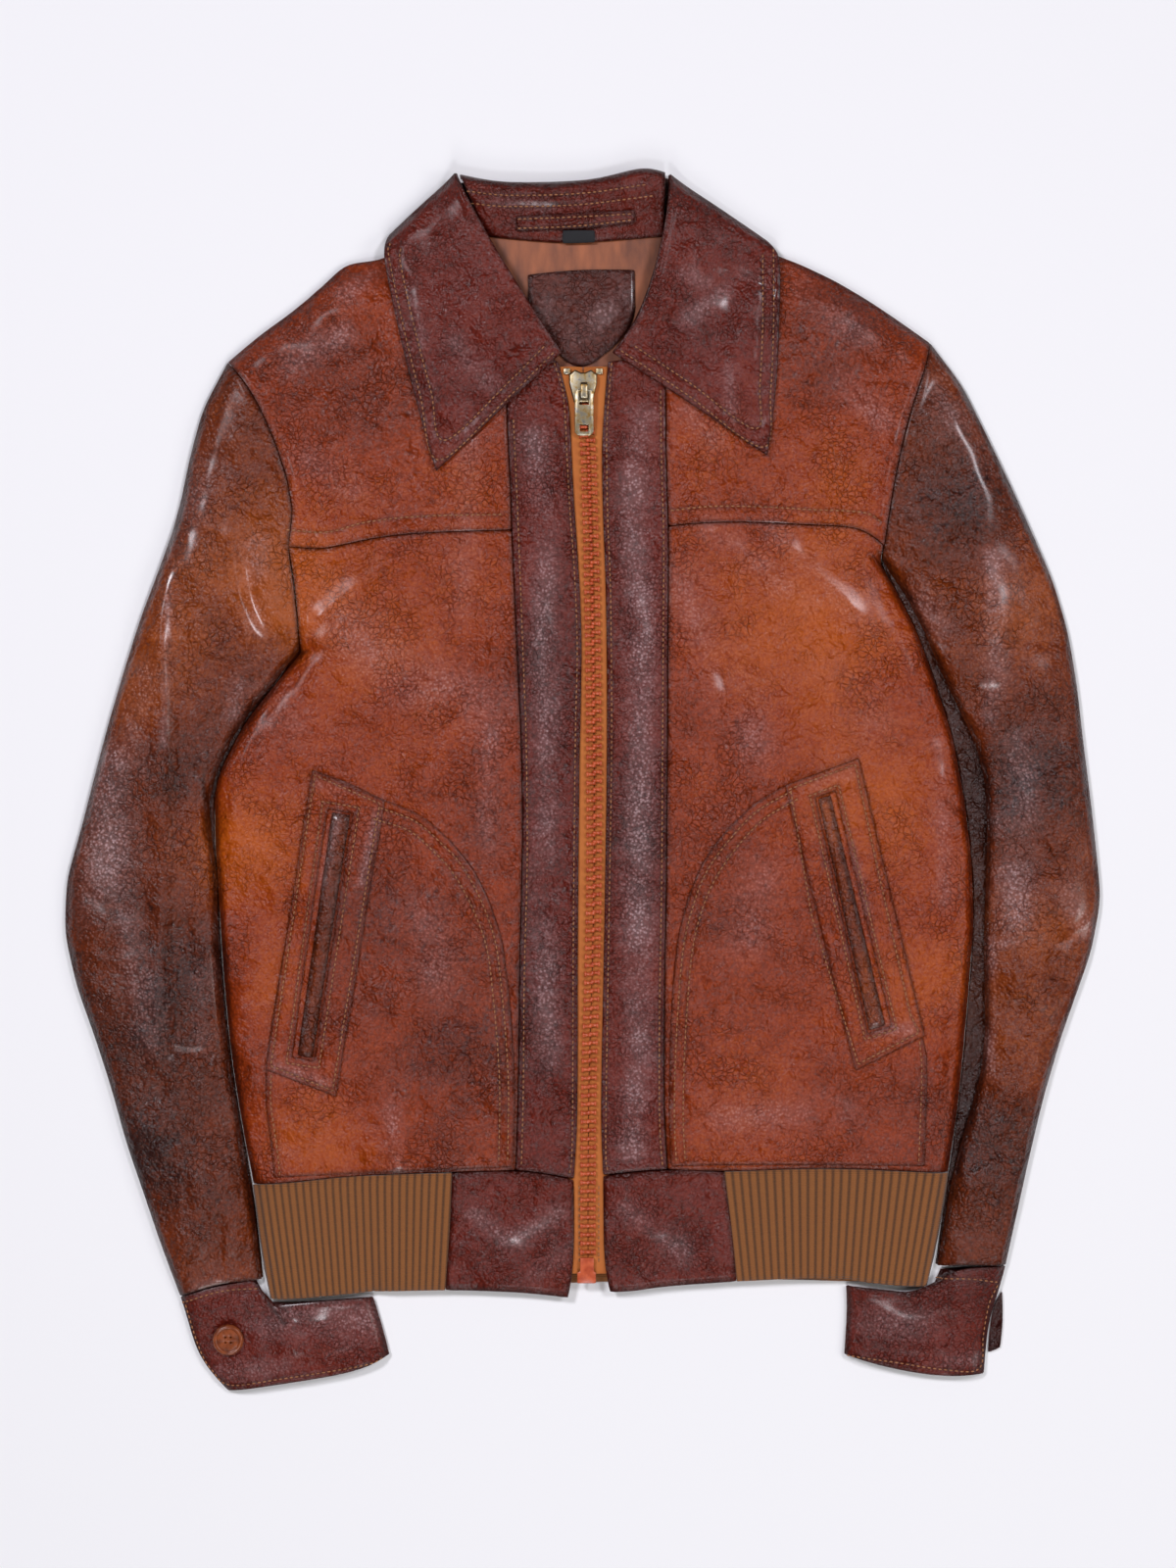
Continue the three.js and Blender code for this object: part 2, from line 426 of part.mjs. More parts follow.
// Curved pocket panels lie on the fronts, the framed welts on them, and a lip in each slit
const POCKET_RISE = SEAT_GAP + LAID_ON;
const FRAME_PUFF = 0.5;
const LIP_SINK = 0.2;
const LIP_PUFF = 0.9;
const POCKET_FOOT_INSET = 0.6;
const LIP_END_INSET = 1.2;
const LIP_INNER_INSET = 1;
const LIP_OUTER_INSET = 3;
const [LONG_SIDE_STEPS, SHORT_SIDE_STEPS] = [6, 2];
function pockets() {
  const panelZ = (x, y) => upper(x, y) + POCKET_RISE + swell(POCKET_FOLDS, x, y);
  const foot = { bottom: POCKET_FOOT_INSET };
  cloth('pocket_panel_left', patch(along(POCKET_TOP_LEFT, even(8)), along(POCKET_CURVE_LEFT, even(11)),
    along(POCKET_FOOT_LEFT, even(8)), along(POCKET_SIDE_LEFT, even(11)), foot),
  panelZ, LAID_ON, 'bodyLeather');
  cloth('pocket_panel_right', patch(along(POCKET_TOP_RIGHT, even(8)), along(POCKET_SIDE_RIGHT, even(11)),
    along(POCKET_FOOT_RIGHT, even(8)), along(POCKET_CURVE_RIGHT, even(11)), foot),
  panelZ, LAID_ON, 'bodyLeather');
  const between = (p, q, t) => [p[0] + t * (q[0] - p[0]), p[1] + t * (q[1] - p[1])];
  const edge = (p, q, count) => even(count).map((t) => between(p, q, t));
  for (const [side, frame, slit] of [['left', FRAME_LEFT, SLIT_LEFT], ['right', FRAME_RIGHT, SLIT_RIGHT]]) {
    const [outer, inner] = [frame, slit].map((corners) => corners.flatMap((corner, k) => {
      const steps = k % 2 ? LONG_SIDE_STEPS : SHORT_SIDE_STEPS;
      return edge(place(...corner), place(...corners[(k + 1) % 4]), steps).slice(0, steps);
    }));
    const ring = [0.02, 0.5, 0.98].map((t) => outer.map((p, i) => between(p, inner[i], t)));
    const puff = (x, y, i, j) => upper(x, y) + 2 * POCKET_RISE + (j === 1 ? FRAME_PUFF : 0);
    cloth(`pocket_frame_${side}`, ring, puff, LAID_ON, 'bodyLeather', { ring: true });
    const [a, b, c, d] = slit.map((corner) => place(...corner));
    const lip = patch(edge(a, b, 4), edge(b, c, 8), edge(d, c, 4), edge(a, d, 8), {
      top: LIP_END_INSET,
      bottom: LIP_END_INSET,
      left: side === 'left' ? LIP_OUTER_INSET : LIP_INNER_INSET,
      right: side === 'left' ? LIP_INNER_INSET : LIP_OUTER_INSET,
    });
    const lipZ = (x, y, i) => upper(x, y) + 2 * POCKET_RISE - LIP_SINK + Math.sin(Math.PI * i / 4) * LIP_PUFF;
    cloth(`pocket_lip_${side}`, lip, lipZ, LAID_ON, 'darkLeather');
  }
}

// Knitted hem with its ribs raised outside, leather tabs beside the zip, and the back of the hem on the floor
const RIBS_A_SIDE = 27;
function hem() {
  const rib = { raise: (j, i) => (i % 2 ? RIB_HEIGHT : 0) };
  const columns = even(RIBS_A_SIDE * 2);
  const rows = [0, 0.5, 1];
  const gap = { top: 0.3, bottom: 0.2 };
  const tabGap = { top: 0.4 };
  cloth('hem_knit_left', patch(along(KNIT_LINE_LEFT, columns), along(TAB_SIDE_LEFT, rows),
    along(KNIT_FOOT_LEFT, columns), along(HEM_SIDE_LEFT, rows), { ...gap, left: EDGE_INSET }),
  upper, KNIT_THICKNESS, 'knit', rib);
  cloth('hem_knit_right', patch(along(KNIT_LINE_RIGHT, columns), along(HEM_SIDE_RIGHT, rows),
    along(KNIT_FOOT_RIGHT, columns), along(TAB_SIDE_RIGHT, rows), { ...gap, right: EDGE_INSET }),
  upper, KNIT_THICKNESS, 'knit', rib);
  cloth('hem_tab_left', patch(along(TAB_LINE_LEFT, even(6)), along(TAB_ZIP_SIDE_LEFT, even(4)),
    along(TAB_FOOT_LEFT, even(6)), along(TAB_SIDE_LEFT, even(4)), tabGap), upper, LEATHER, 'darkLeather');
  cloth('hem_tab_right', patch(along(TAB_LINE_RIGHT, even(6)), along(TAB_SIDE_RIGHT, even(4)),
    along(TAB_FOOT_RIGHT, even(6)), along(TAB_ZIP_SIDE_RIGHT, even(4)), tabGap),
  upper, LEATHER, 'darkLeather');
}

// The layer that lies on the floor: back, back of the hem, under-sleeves and the turned-down collar
function floorLayer() {
  const flat = () => BACK_THICKNESS;
  const upperRows = [0, 0.26, 0.65, 1];
  const underLeft = joined(along(ARMHOLE_LEFT, upperRows), along(UNDERARM_LEFT, [0, 0.62, 1]));
  const underRight = joined(along(ARMHOLE_RIGHT, upperRows), along(UNDERARM_RIGHT, [0, 0.62, 1]));
  const besideLeft = along(SIDE_LEFT, even(9));
  const besideRight = along(SIDE_RIGHT, even(9));
  const sideLeft = joined(underLeft, besideLeft);
  const sideRight = joined(underRight, besideRight);
  const neck = line([470, 232], [500, 241], [590, 244], [672, 241], [702, 232]);
  const leftToNeck = joined(along(SHOULDER_LEFT, even(6)), along(neck, even(4)));
  const shoulders = joined(leftToNeck, along(SHOULDER_RIGHT, even(6)));
  const hemLine = line([257, 1209], [357, 1202], [590, 1199], [845, 1194], [969, 1197]);
  const across = alike(hemLine, shoulders);
  cloth('back_panel', patch(shoulders, sideRight, across, sideLeft, { top: FLOOR_EDGE_INSET }), flat,
    BACK_THICKNESS, 'bodyLeather');
  const hemFoot = line([275, 1327], [454, 1317], [600, 1312], [752, 1308], [947, 1314]);
  const knitInset = { top: 0.5, left: 1, right: 1, bottom: 1 };
  cloth('back_knit', patch(along(hemLine, even(8)), along(HEM_SIDE_RIGHT, even(2)), along(hemFoot, even(8)),
    along(HEM_SIDE_LEFT, even(2)), knitInset), flat, BACK_THICKNESS, 'knit');
  const outerRows = even(11);
  const capRight = reversed(underRight);
  cloth('sleeve_under_left', patch(underLeft, joined(besideLeft, along(BESIDE_HEM_LEFT, even(2))),
    alike(CUFF_SEAM_LEFT, underLeft), along(SLEEVE_OUTER_LEFT, outerRows), { left: FLOOR_EDGE_INSET }),
  flat, BACK_THICKNESS, 'sleeveLeather');
  cloth('sleeve_under_right', patch(capRight, along(SLEEVE_OUTER_RIGHT, outerRows),
    alike(CUFF_SEAM_RIGHT, capRight), joined(besideRight, along(BESIDE_HEM_RIGHT, even(2))),
    { right: FLOOR_EDGE_INSET }), flat, BACK_THICKNESS, 'sleeveLeather');
  const cuffInset = { top: 0.8, left: 0.8, right: 0.8, bottom: 0.8 };
  cloth('cuff_under_left', patch(along(CUFF_TOP_LEFT, even(8)), along(CUFF_INNER_LEFT, even(3)),
    along(CUFF_FOOT_LEFT, even(8)), along(CUFF_OUTER_LEFT, even(3)), cuffInset),
  flat, BACK_THICKNESS, 'darkLeather');
  cloth('cuff_under_right', patch(along(CUFF_TOP_RIGHT, even(8)), along(CUFF_OUTER_RIGHT, even(3)),
    along(CUFF_FOOT_RIGHT, even(8)), along(CUFF_INNER_RIGHT, even(3)), cuffInset),
  flat, BACK_THICKNESS, 'darkLeather');
  const [leafTop, leafFoot] = [along(LEAF_TOP, even(16)), along(LEAF_FOOT, even(16))];
  cloth('collar_fall', patch(leafTop, [leafTop[16], leafFoot[16]], leafFoot, [leafTop[0], leafFoot[0]]),
    flat, BACK_THICKNESS, 'darkLeather');
}

// Upper halves of the sleeves and cuffs
function sleeves() {
  const groove = { left: EDGE_INSET, right: GROOVE_INSET };
  cloth('sleeve_top_left', patch(armholeLeft, along(SLEEVE_INNER_LEFT, SLEEVE_ROWS),
    alike(CUFF_SEAM_LEFT, armholeLeft), along(SLEEVE_OUTER_LEFT, SLEEVE_ROWS), groove),
  folded, LEATHER, 'sleeveLeather');
  const capRight = reversed(armholeRight);
  cloth('sleeve_top_right', patch(capRight, along(SLEEVE_OUTER_RIGHT, SLEEVE_ROWS),
    alike(CUFF_SEAM_RIGHT, capRight), along(SLEEVE_INNER_RIGHT, SLEEVE_ROWS),
    { left: GROOVE_INSET, right: EDGE_INSET }), folded, LEATHER, 'sleeveLeather');
  const columns = [0, 0.04, 0.1, 0.2, 0.36, 0.54, 0.72, 0.86, 0.95, 1];
  const rows = even(4);
  const edges = { top: 0.6, left: EDGE_INSET, right: EDGE_INSET };
  cloth('cuff_top_left', patch(along(CUFF_TOP_LEFT, columns), along(CUFF_INNER_LEFT, rows),
    along(CUFF_FOOT_LEFT, columns), along(CUFF_OUTER_LEFT, rows), edges), upper, LEATHER, 'darkLeather');
  cloth('cuff_top_right', patch(along(CUFF_TOP_RIGHT, columns), along(CUFF_OUTER_RIGHT, rows),
    along(CUFF_FOOT_RIGHT, columns), along(CUFF_INNER_RIGHT, rows), edges), upper, LEATHER, 'darkLeather');
}

const outline = (corners) => new THREE.Shape(corners.map((corner) => new THREE.Vector2(...place(...corner))));
const slab = (shape, depth, z) => (
  new THREE.ExtrudeGeometry(shape, { depth, bevelEnabled: false }).translate(0, 0, z));

// Collar: two wings turned down over the yokes, and the stand round the neck with its roll at the back
const WING_SEAT = SEAT_GAP + COLLAR_THICKNESS;
const WING_EDGE_Z = 5;
const WING_ROLL = 14;
const WING_CLEARANCE = 0.6;
const STAND_CLEARANCE = 0.4;
const STAND_SLOPE = 1.2;
function collar() {
  const rows = [0, 0.06, 0.14, 0.26, 0.42, 0.6, 0.8, 1];
  const columns = [0, 0.08, 0.2, 0.36, 0.54, 0.7, 0.84, 0.94, 1];
  for (const side of ['left', 'right']) {
    const right = side === 'right';
    const [rollLine, outer, top, front] = right
      ? [ROLL_LINE_RIGHT, WING_OUTER_RIGHT, WING_TOP_RIGHT, WING_FRONT_RIGHT]
      : [ROLL_LINE_LEFT, WING_OUTER_LEFT, WING_TOP_LEFT, WING_FRONT_LEFT];
    const back = along(top, even(30));
    const shape = right
      ? patch(along(top, columns), along(outer, rows), along(front, columns), along(rollLine, rows))
      : patch(reversed(along(top, columns)), along(rollLine, rows), reversed(along(front, columns)),
        along(outer, rows));
    const wingZ = (x, y, i, j) => {
      const u = right ? columns[i] : columns[columns.length - 1 - i];
      const lift = COLLAR_LIFT * (1 - u) ** 1.6 * (0.5 + Math.sin(Math.PI * rows[j]) * 0.5);
      const resting = BODY_Z + WING_SEAT + lift + WING_CLEARANCE;
      const turn = 1 - Math.min(distanceTo(back, x, y) / WING_ROLL, 1);
      const rolled = WING_EDGE_Z + (resting - WING_EDGE_Z) * Math.sqrt(1 - turn * turn);
      return THREE.MathUtils.lerp(rolled, resting, Math.max(0, 1 - 6 * u) * 0.7);
    };
    cloth(`collar_wing_${side}`, shape, wingZ, COLLAR_THICKNESS, 'darkLeather');
    const foot = along(right ? NECKLINE_RIGHT : NECKLINE_LEFT, [0.12, 0.35, 0.6, 0.85]);
    const head = along(rollLine, [0.4, 0.6, 0.8, 0.97]);
    const grid = foot.map((p, k) => even(2).map((t) => new THREE.Vector3(
      p[0] + t * (head[k][0] - p[0]), p[1] + t * (head[k][1] - p[1]),
      BODY_Z + SEAT_GAP + LEATHER + STAND_CLEARANCE + t * STAND_SLOPE)));
    add(`collar_stand_${side}`, wall(right ? grid.map(reversed) : grid, LEATHER), 'darkLeather');
  }
  const profile = [[0, 5.2], [0.25, 8.2], [0.5, 11], [0.75, STAND_Z - 0.6], [0.9, STAND_Z],
    [0.98, STAND_Z - 1.6], [1.03, 9.2], [1.03, 5.4], [1, 2.6]];
  const foot = along(STAND_FOOT, even(12));
  const head = along(STAND_TOP, even(12));
  const rolled = reversed(profile).map(([t, z]) => foot.map((p, i) => new THREE.Vector3(
    p[0] + t * (head[i][0] - p[0]), p[1] + t * (head[i][1] - p[1]), z)));
  add('collar_stand_back', wall(rolled, LEATHER), 'darkLeather');
}

// Inside the neck: lining, patch, size tag and hanger loop
const PATCH_GAP = 0.3;
const LOOP_OVER_STAND = 2.6;
const LOOP_BOW = 1.2;
const TAG_OVER_STAND = 2.9;
function neck() {
  const onLining = LINING_Z + PATCH_GAP + LAID_ON;
  cloth('back_lining', patch(along(LINING_TOP, even(6)), along(LINING_SIDE_RIGHT, even(5)),
    along(LINING_FOOT, even(6)), along(LINING_SIDE_LEFT, even(5))), () => LINING_Z, LINING, 'lining');
  cloth('neck_patch', patch(along(PATCH_TOP, even(5)), along(PATCH_SIDE_RIGHT, even(5)),
    along(PATCH_FOOT, even(5)), along(PATCH_SIDE_LEFT, even(5))), () => onLining, LAID_ON, 'darkLeather');
  const standZ = (y) => THREE.MathUtils.mapLinear(y, place(0, 243)[1], place(0, 213)[1], 5.4, 10.8);
  const loopRise = (x, y, i) => standZ(y) + LOOP_OVER_STAND + Math.sin(Math.PI * i / 8) * LOOP_BOW;
  cloth('hanger_loop', patch(along(LOOP_TOP, even(8)), along(LOOP_END_RIGHT, even(2)),
    along(LOOP_FOOT, even(8)), along(LOOP_END_LEFT, even(2))), loopRise, LAID_ON, 'darkLeather');
  const tag = TAG_CORNERS.map((corner) => place(...corner));
  const tagZ = (x, y) => standZ(y) + TAG_OVER_STAND;
  cloth('size_tag', [[tag[0], tag[1]], [tag[3], tag[2]]], tagZ, LINING, 'tag');
}

// Zip: two tapes under the plackets' edges, the chain as one strip, stops, slider, pull tab and box
const SLIDER_TOP = 14.2;
const SLIDER_FOOT = 9.9;
const SLIDER_CENTRE = place(595, 395);
const BAIL_WIDTH = 4.4;
const BAIL_HALF_LENGTH = 5.5;
const BAIL_BAR = 1.3;
const BAIL_HEIGHT = 4.3;
const PULL_THICKNESS = 1.4;
const PULL_LENGTH = 27;
const PULL_WIDTH = 11.4;
const PULL_WINDOW = [6, 7.4];
const PULL_TILT = THREE.MathUtils.degToRad(5);
const HINGE = new THREE.Vector3(...place(596, 400), SLIDER_TOP + 1.5);
const SLIDER_BEVEL = 0.7;
const BAIL_GAP = 0.3;
const CHAIN_GAP = 0.3;
const STOP_HEIGHT = 2.2;
const BOX_GAP = 0.4;
const BOX_HEIGHT = 3.4;
function rectangle(Kind, x0, y0, x1, y1) {
  return new Kind([[x0, y0], [x1, y0], [x1, y1], [x0, y1]].map(([x, y]) => new THREE.Vector2(x, y)));
}
function zip() {
  const rows = even(20);
  const strip = (from, to) => rows.map((t) => {
    const y = THREE.MathUtils.lerp(place(0, TAPE_TOP_Y)[1], place(0, TAPE_FOOT_Y)[1], t);
    return [[from(y), y], [to(y), y]];
  });
  const follow = (curve) => {
    const points = along(curve, even(60));
    return (y) => {
      const k = points.findIndex((p) => p[1] <= y);
      const last = k < 0 ? points.length - 1 : Math.max(k, 1);
      const [a, b] = [points[last - 1], points[last]];
      return a[0] + (b[0] - a[0]) * THREE.MathUtils.clamp((y - a[1]) / (b[1] - a[1]), 0, 1);
    };
  };
  const middle = follow(CHAIN_CENTRE);
  const leftEdge = follow(ZIP_EDGE_LEFT);
  const rightEdge = follow(ZIP_EDGE_RIGHT);
  const under = TAPE_UNDER_PLACKET * GRID;
  const tapeZ = (x, y) => upper(middle(y), y) - TAPE_DROP;
  cloth('zip_tape_left', strip((y) => leftEdge(y) - under, (y) => middle(y) - SEAM_HALF_GAP), tapeZ,
    TAPE_THICKNESS, 'tape');
  cloth('zip_tape_right', strip((y) => middle(y) + SEAM_HALF_GAP, (y) => rightEdge(y) + under), tapeZ,
    TAPE_THICKNESS, 'tape');
  const half = CHAIN_WIDTH / 2;
  const chain = along(CHAIN_CENTRE, rows).map(([x, y]) => [[x - half, y], [x + half, y]]);
  cloth('zip_chain', chain, (x, y) => tapeZ(x, y) + CHAIN_GAP + CHAIN_HEIGHT, CHAIN_HEIGHT, 'teeth');
  const shield = new THREE.Shape([[-5.6, -9.8], [5.6, -9.8], [8.6, 2], [8.6, 7], [5, 10.4], [1.2, 8.6],
    [-1.2, 8.6], [-5, 10.4], [-8.6, 7], [-8.6, 2]].map(([x, y]) => new THREE.Vector2(x, y)));
  const slider = new THREE.ExtrudeGeometry(shield, {
    depth: SLIDER_TOP - SLIDER_FOOT - 2 * SLIDER_BEVEL,
    bevelThickness: SLIDER_BEVEL,
    bevelSize: SLIDER_BEVEL,
    bevelOffset: -SLIDER_BEVEL,
    bevelSegments: 1,
  });
  add('zip_slider', slider, 'brass').position.set(...SLIDER_CENTRE, SLIDER_FOOT + SLIDER_BEVEL);
  const reach = BAIL_HALF_LENGTH;
  const arch = new THREE.Shape([[-reach, 0], [-reach + BAIL_BAR, 0], [-reach + BAIL_BAR, BAIL_HEIGHT - 2.2],
    [-reach + 2.3, BAIL_HEIGHT - BAIL_BAR], [reach - 2.3, BAIL_HEIGHT - BAIL_BAR],
    [reach - BAIL_BAR, BAIL_HEIGHT - 2.2],
    [reach - BAIL_BAR, 0], [reach, 0], [reach, BAIL_HEIGHT - 1.6], [reach - 1.6, BAIL_HEIGHT],
    [-reach + 1.6, BAIL_HEIGHT], [-reach, BAIL_HEIGHT - 1.6]].map(([x, y]) => new THREE.Vector2(x, y)));
  const bail = new THREE.ExtrudeGeometry(arch, { depth: BAIL_WIDTH, bevelEnabled: false });
  bail.rotateX(Math.PI / 2).rotateZ(Math.PI / 2).translate(-BAIL_WIDTH, 0, 0);
  add('zip_bail', bail, 'brass').position.set(HINGE.x + BAIL_WIDTH / 2, HINGE.y, SLIDER_TOP + BAIL_GAP);
  const edge = PULL_WIDTH / 2;
  const tab = new THREE.Shape([[-edge + 1.6, 0.9], [edge - 1.6, 0.9], [edge, -1.5], [edge, -PULL_LENGTH + 2],
    [edge - 2, -PULL_LENGTH], [-edge + 2, -PULL_LENGTH], [-edge, -PULL_LENGTH + 2],
    [-edge, -1.5]].map(([x, y]) => new THREE.Vector2(x, y)));
  tab.holes.push(rectangle(THREE.Path, -PULL_WINDOW[0] / 2, -0.8 - PULL_WINDOW[1], PULL_WINDOW[0] / 2, -0.8));
  tab.holes.push(rectangle(THREE.Path, -2.7, -24.6, 2.7, -20.4));
  const pull = new THREE.ExtrudeGeometry(tab, { depth: PULL_THICKNESS, bevelEnabled: false });
  pull.translate(0, 0, -PULL_THICKNESS / 2).rotateX(PULL_TILT);
  add('zip_pull', pull, 'brass').position.copy(HINGE);
  const stopZ = BODY_Z - TAPE_DROP + CHAIN_GAP;
  for (const [side, x] of [['left', 575], ['right', 608]]) {
    const stop = outline([[x, 376], [x + 7, 376], [x + 7, 382], [x, 382]]);
    add(`zip_stop_${side}`, slab(stop, STOP_HEIGHT, stopZ), 'brass');
  }
  const footZ = tapeZ(...place(598, 1280)) + BOX_GAP;
  const box = outline([[589, 1309], [589, 1298], [592, 1297], [592, 1283], [606, 1283], [606, 1297],
    [608, 1298], [608, 1309]]);
  add('zip_box', slab(box, BOX_HEIGHT, footZ), 'teeth');
}

// The cuff button, with its four holes
const BUTTON_BEVEL = 0.5;
const BUTTON_DEPTH = 1.6;
const BUTTON_SEAT = 1.4;
const HOLES_FROM_CENTRE = 2.3;
const HOLE_RADIUS = 0.95;
function button() {
  const disc = new THREE.Shape().absarc(0, 0, BUTTON_DIAMETER / 2 - BUTTON_BEVEL, 0, 2 * Math.PI);
  for (const turn of [45, 135, 225, 315].map(THREE.MathUtils.degToRad)) {
    const [x, y] = [HOLES_FROM_CENTRE * Math.cos(turn), HOLES_FROM_CENTRE * Math.sin(turn)];
    disc.holes.push(new THREE.Path().absarc(x, y, HOLE_RADIUS, 0, 2 * Math.PI, true));
  }
  const centre = place(233, 1367);
  const geometry = new THREE.ExtrudeGeometry(disc, {
    depth: BUTTON_DEPTH,
    bevelThickness: BUTTON_BEVEL,
    bevelSize: BUTTON_BEVEL,
    bevelSegments: 1,
    curveSegments: 8,
  });
  add('cuff_button', geometry, 'button').position.set(...centre, upper(...centre) + BUTTON_SEAT);
}

yokes();
fronts();
plackets();
pockets();
hem();
floorLayer();
sleeves();
collar();
neck();
zip();
button();
add('cuff_flap_right', slab(outline(FLAP_RIGHT), BACK_THICKNESS, 0), 'darkLeather');

export default jacket;
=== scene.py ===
"""Dresses a worn leather blouson, laid flat and zipped up, on its frame. Metres, +Y to the collar, +Z up."""

import json
import math

import bmesh
import bpy
import numpy as np
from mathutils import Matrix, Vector, noise
from mathutils.bvhtree import BVHTree

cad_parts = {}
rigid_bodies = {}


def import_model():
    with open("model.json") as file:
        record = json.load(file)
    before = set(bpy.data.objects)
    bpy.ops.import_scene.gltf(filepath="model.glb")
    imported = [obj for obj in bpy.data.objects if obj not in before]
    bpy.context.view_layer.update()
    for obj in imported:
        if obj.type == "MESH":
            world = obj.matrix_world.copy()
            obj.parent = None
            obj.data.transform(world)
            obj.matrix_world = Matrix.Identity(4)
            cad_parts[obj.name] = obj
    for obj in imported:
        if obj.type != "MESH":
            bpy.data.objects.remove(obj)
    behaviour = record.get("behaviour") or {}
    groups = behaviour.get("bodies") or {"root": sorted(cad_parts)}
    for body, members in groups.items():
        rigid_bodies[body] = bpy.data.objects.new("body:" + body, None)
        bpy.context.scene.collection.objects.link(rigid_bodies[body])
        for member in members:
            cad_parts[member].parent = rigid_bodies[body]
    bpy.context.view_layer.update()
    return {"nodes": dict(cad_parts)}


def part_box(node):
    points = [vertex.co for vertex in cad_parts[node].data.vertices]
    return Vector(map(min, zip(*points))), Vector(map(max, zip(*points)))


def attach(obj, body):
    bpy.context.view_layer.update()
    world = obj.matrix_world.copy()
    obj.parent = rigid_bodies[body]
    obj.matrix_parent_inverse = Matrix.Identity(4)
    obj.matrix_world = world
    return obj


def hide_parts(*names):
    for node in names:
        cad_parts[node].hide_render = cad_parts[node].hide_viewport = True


bl_info = {
    "name": "Worn leather blouson",
    "version": (1, 0, 0),
    "blender": (4, 5, 0),
    "location": "View3D > Sidebar > Blouson",
    "description": "Builds the leather, knit, zip, stitching and studio of a laid-out blouson on its frame",
    "category": "Object",
}

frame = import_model()

# The grid that places are written in: one step is a point of the photograph, and the zip gives its size
ZIP_LENGTH = 0.556
STEP = ZIP_LENGTH / 927
MIDDLE = (594.6, 795)
MM = 0.001


def at(x, y):
    """A place in the grid, in metres."""
    return ((x - MIDDLE[0]) * STEP, (MIDDLE[1] - y) * STEP)


def line_of(points):
    return np.array([at(*p) for p in points])


def both(kind, material, levels):
    """The settings of a left piece and its right twin."""
    return {kind + "_left": (material, levels), kind + "_right": (material, levels)}


# Pieces of cloth: the node, with its material and how often each cell is halved
BODY_PIECES = {
    **both("yoke", "cognac", 3), **both("front", "cognac", 3), **both("placket", "oxblood", 3),
    **both("pocket_panel", "cognac", 3), **both("pocket_frame", "cognac", 3), **both("pocket_lip", "brown", 2),
    **both("hem_tab", "oxblood", 2), "back_panel": ("cognac", 1),
}
SLEEVE_PIECES = {
    **both("sleeve_top", "brown", 3), **both("sleeve_under", "brown", 1), **both("cuff_top", "oxblood", 3),
    **both("cuff_under", "oxblood", 1), "cuff_flap_right": ("oxblood", 2),
}
COLLAR_PIECES = {
    **both("collar_wing", "oxblood", 3), **both("collar_stand", "oxblood", 1),
    "collar_stand_back": ("oxblood", 2), "collar_fall": ("oxblood", 1),
    "hanger_loop": ("oxblood", 2), "neck_patch": ("patch", 2),
}
KNIT_PIECES = {**both("hem_knit", "knit", 2), "back_knit": ("knit", 1)}
SOFT_TRIM = {"back_lining": ("satin", 2), "size_tag": ("tag", 2), **both("zip_tape", "tape", 2)}

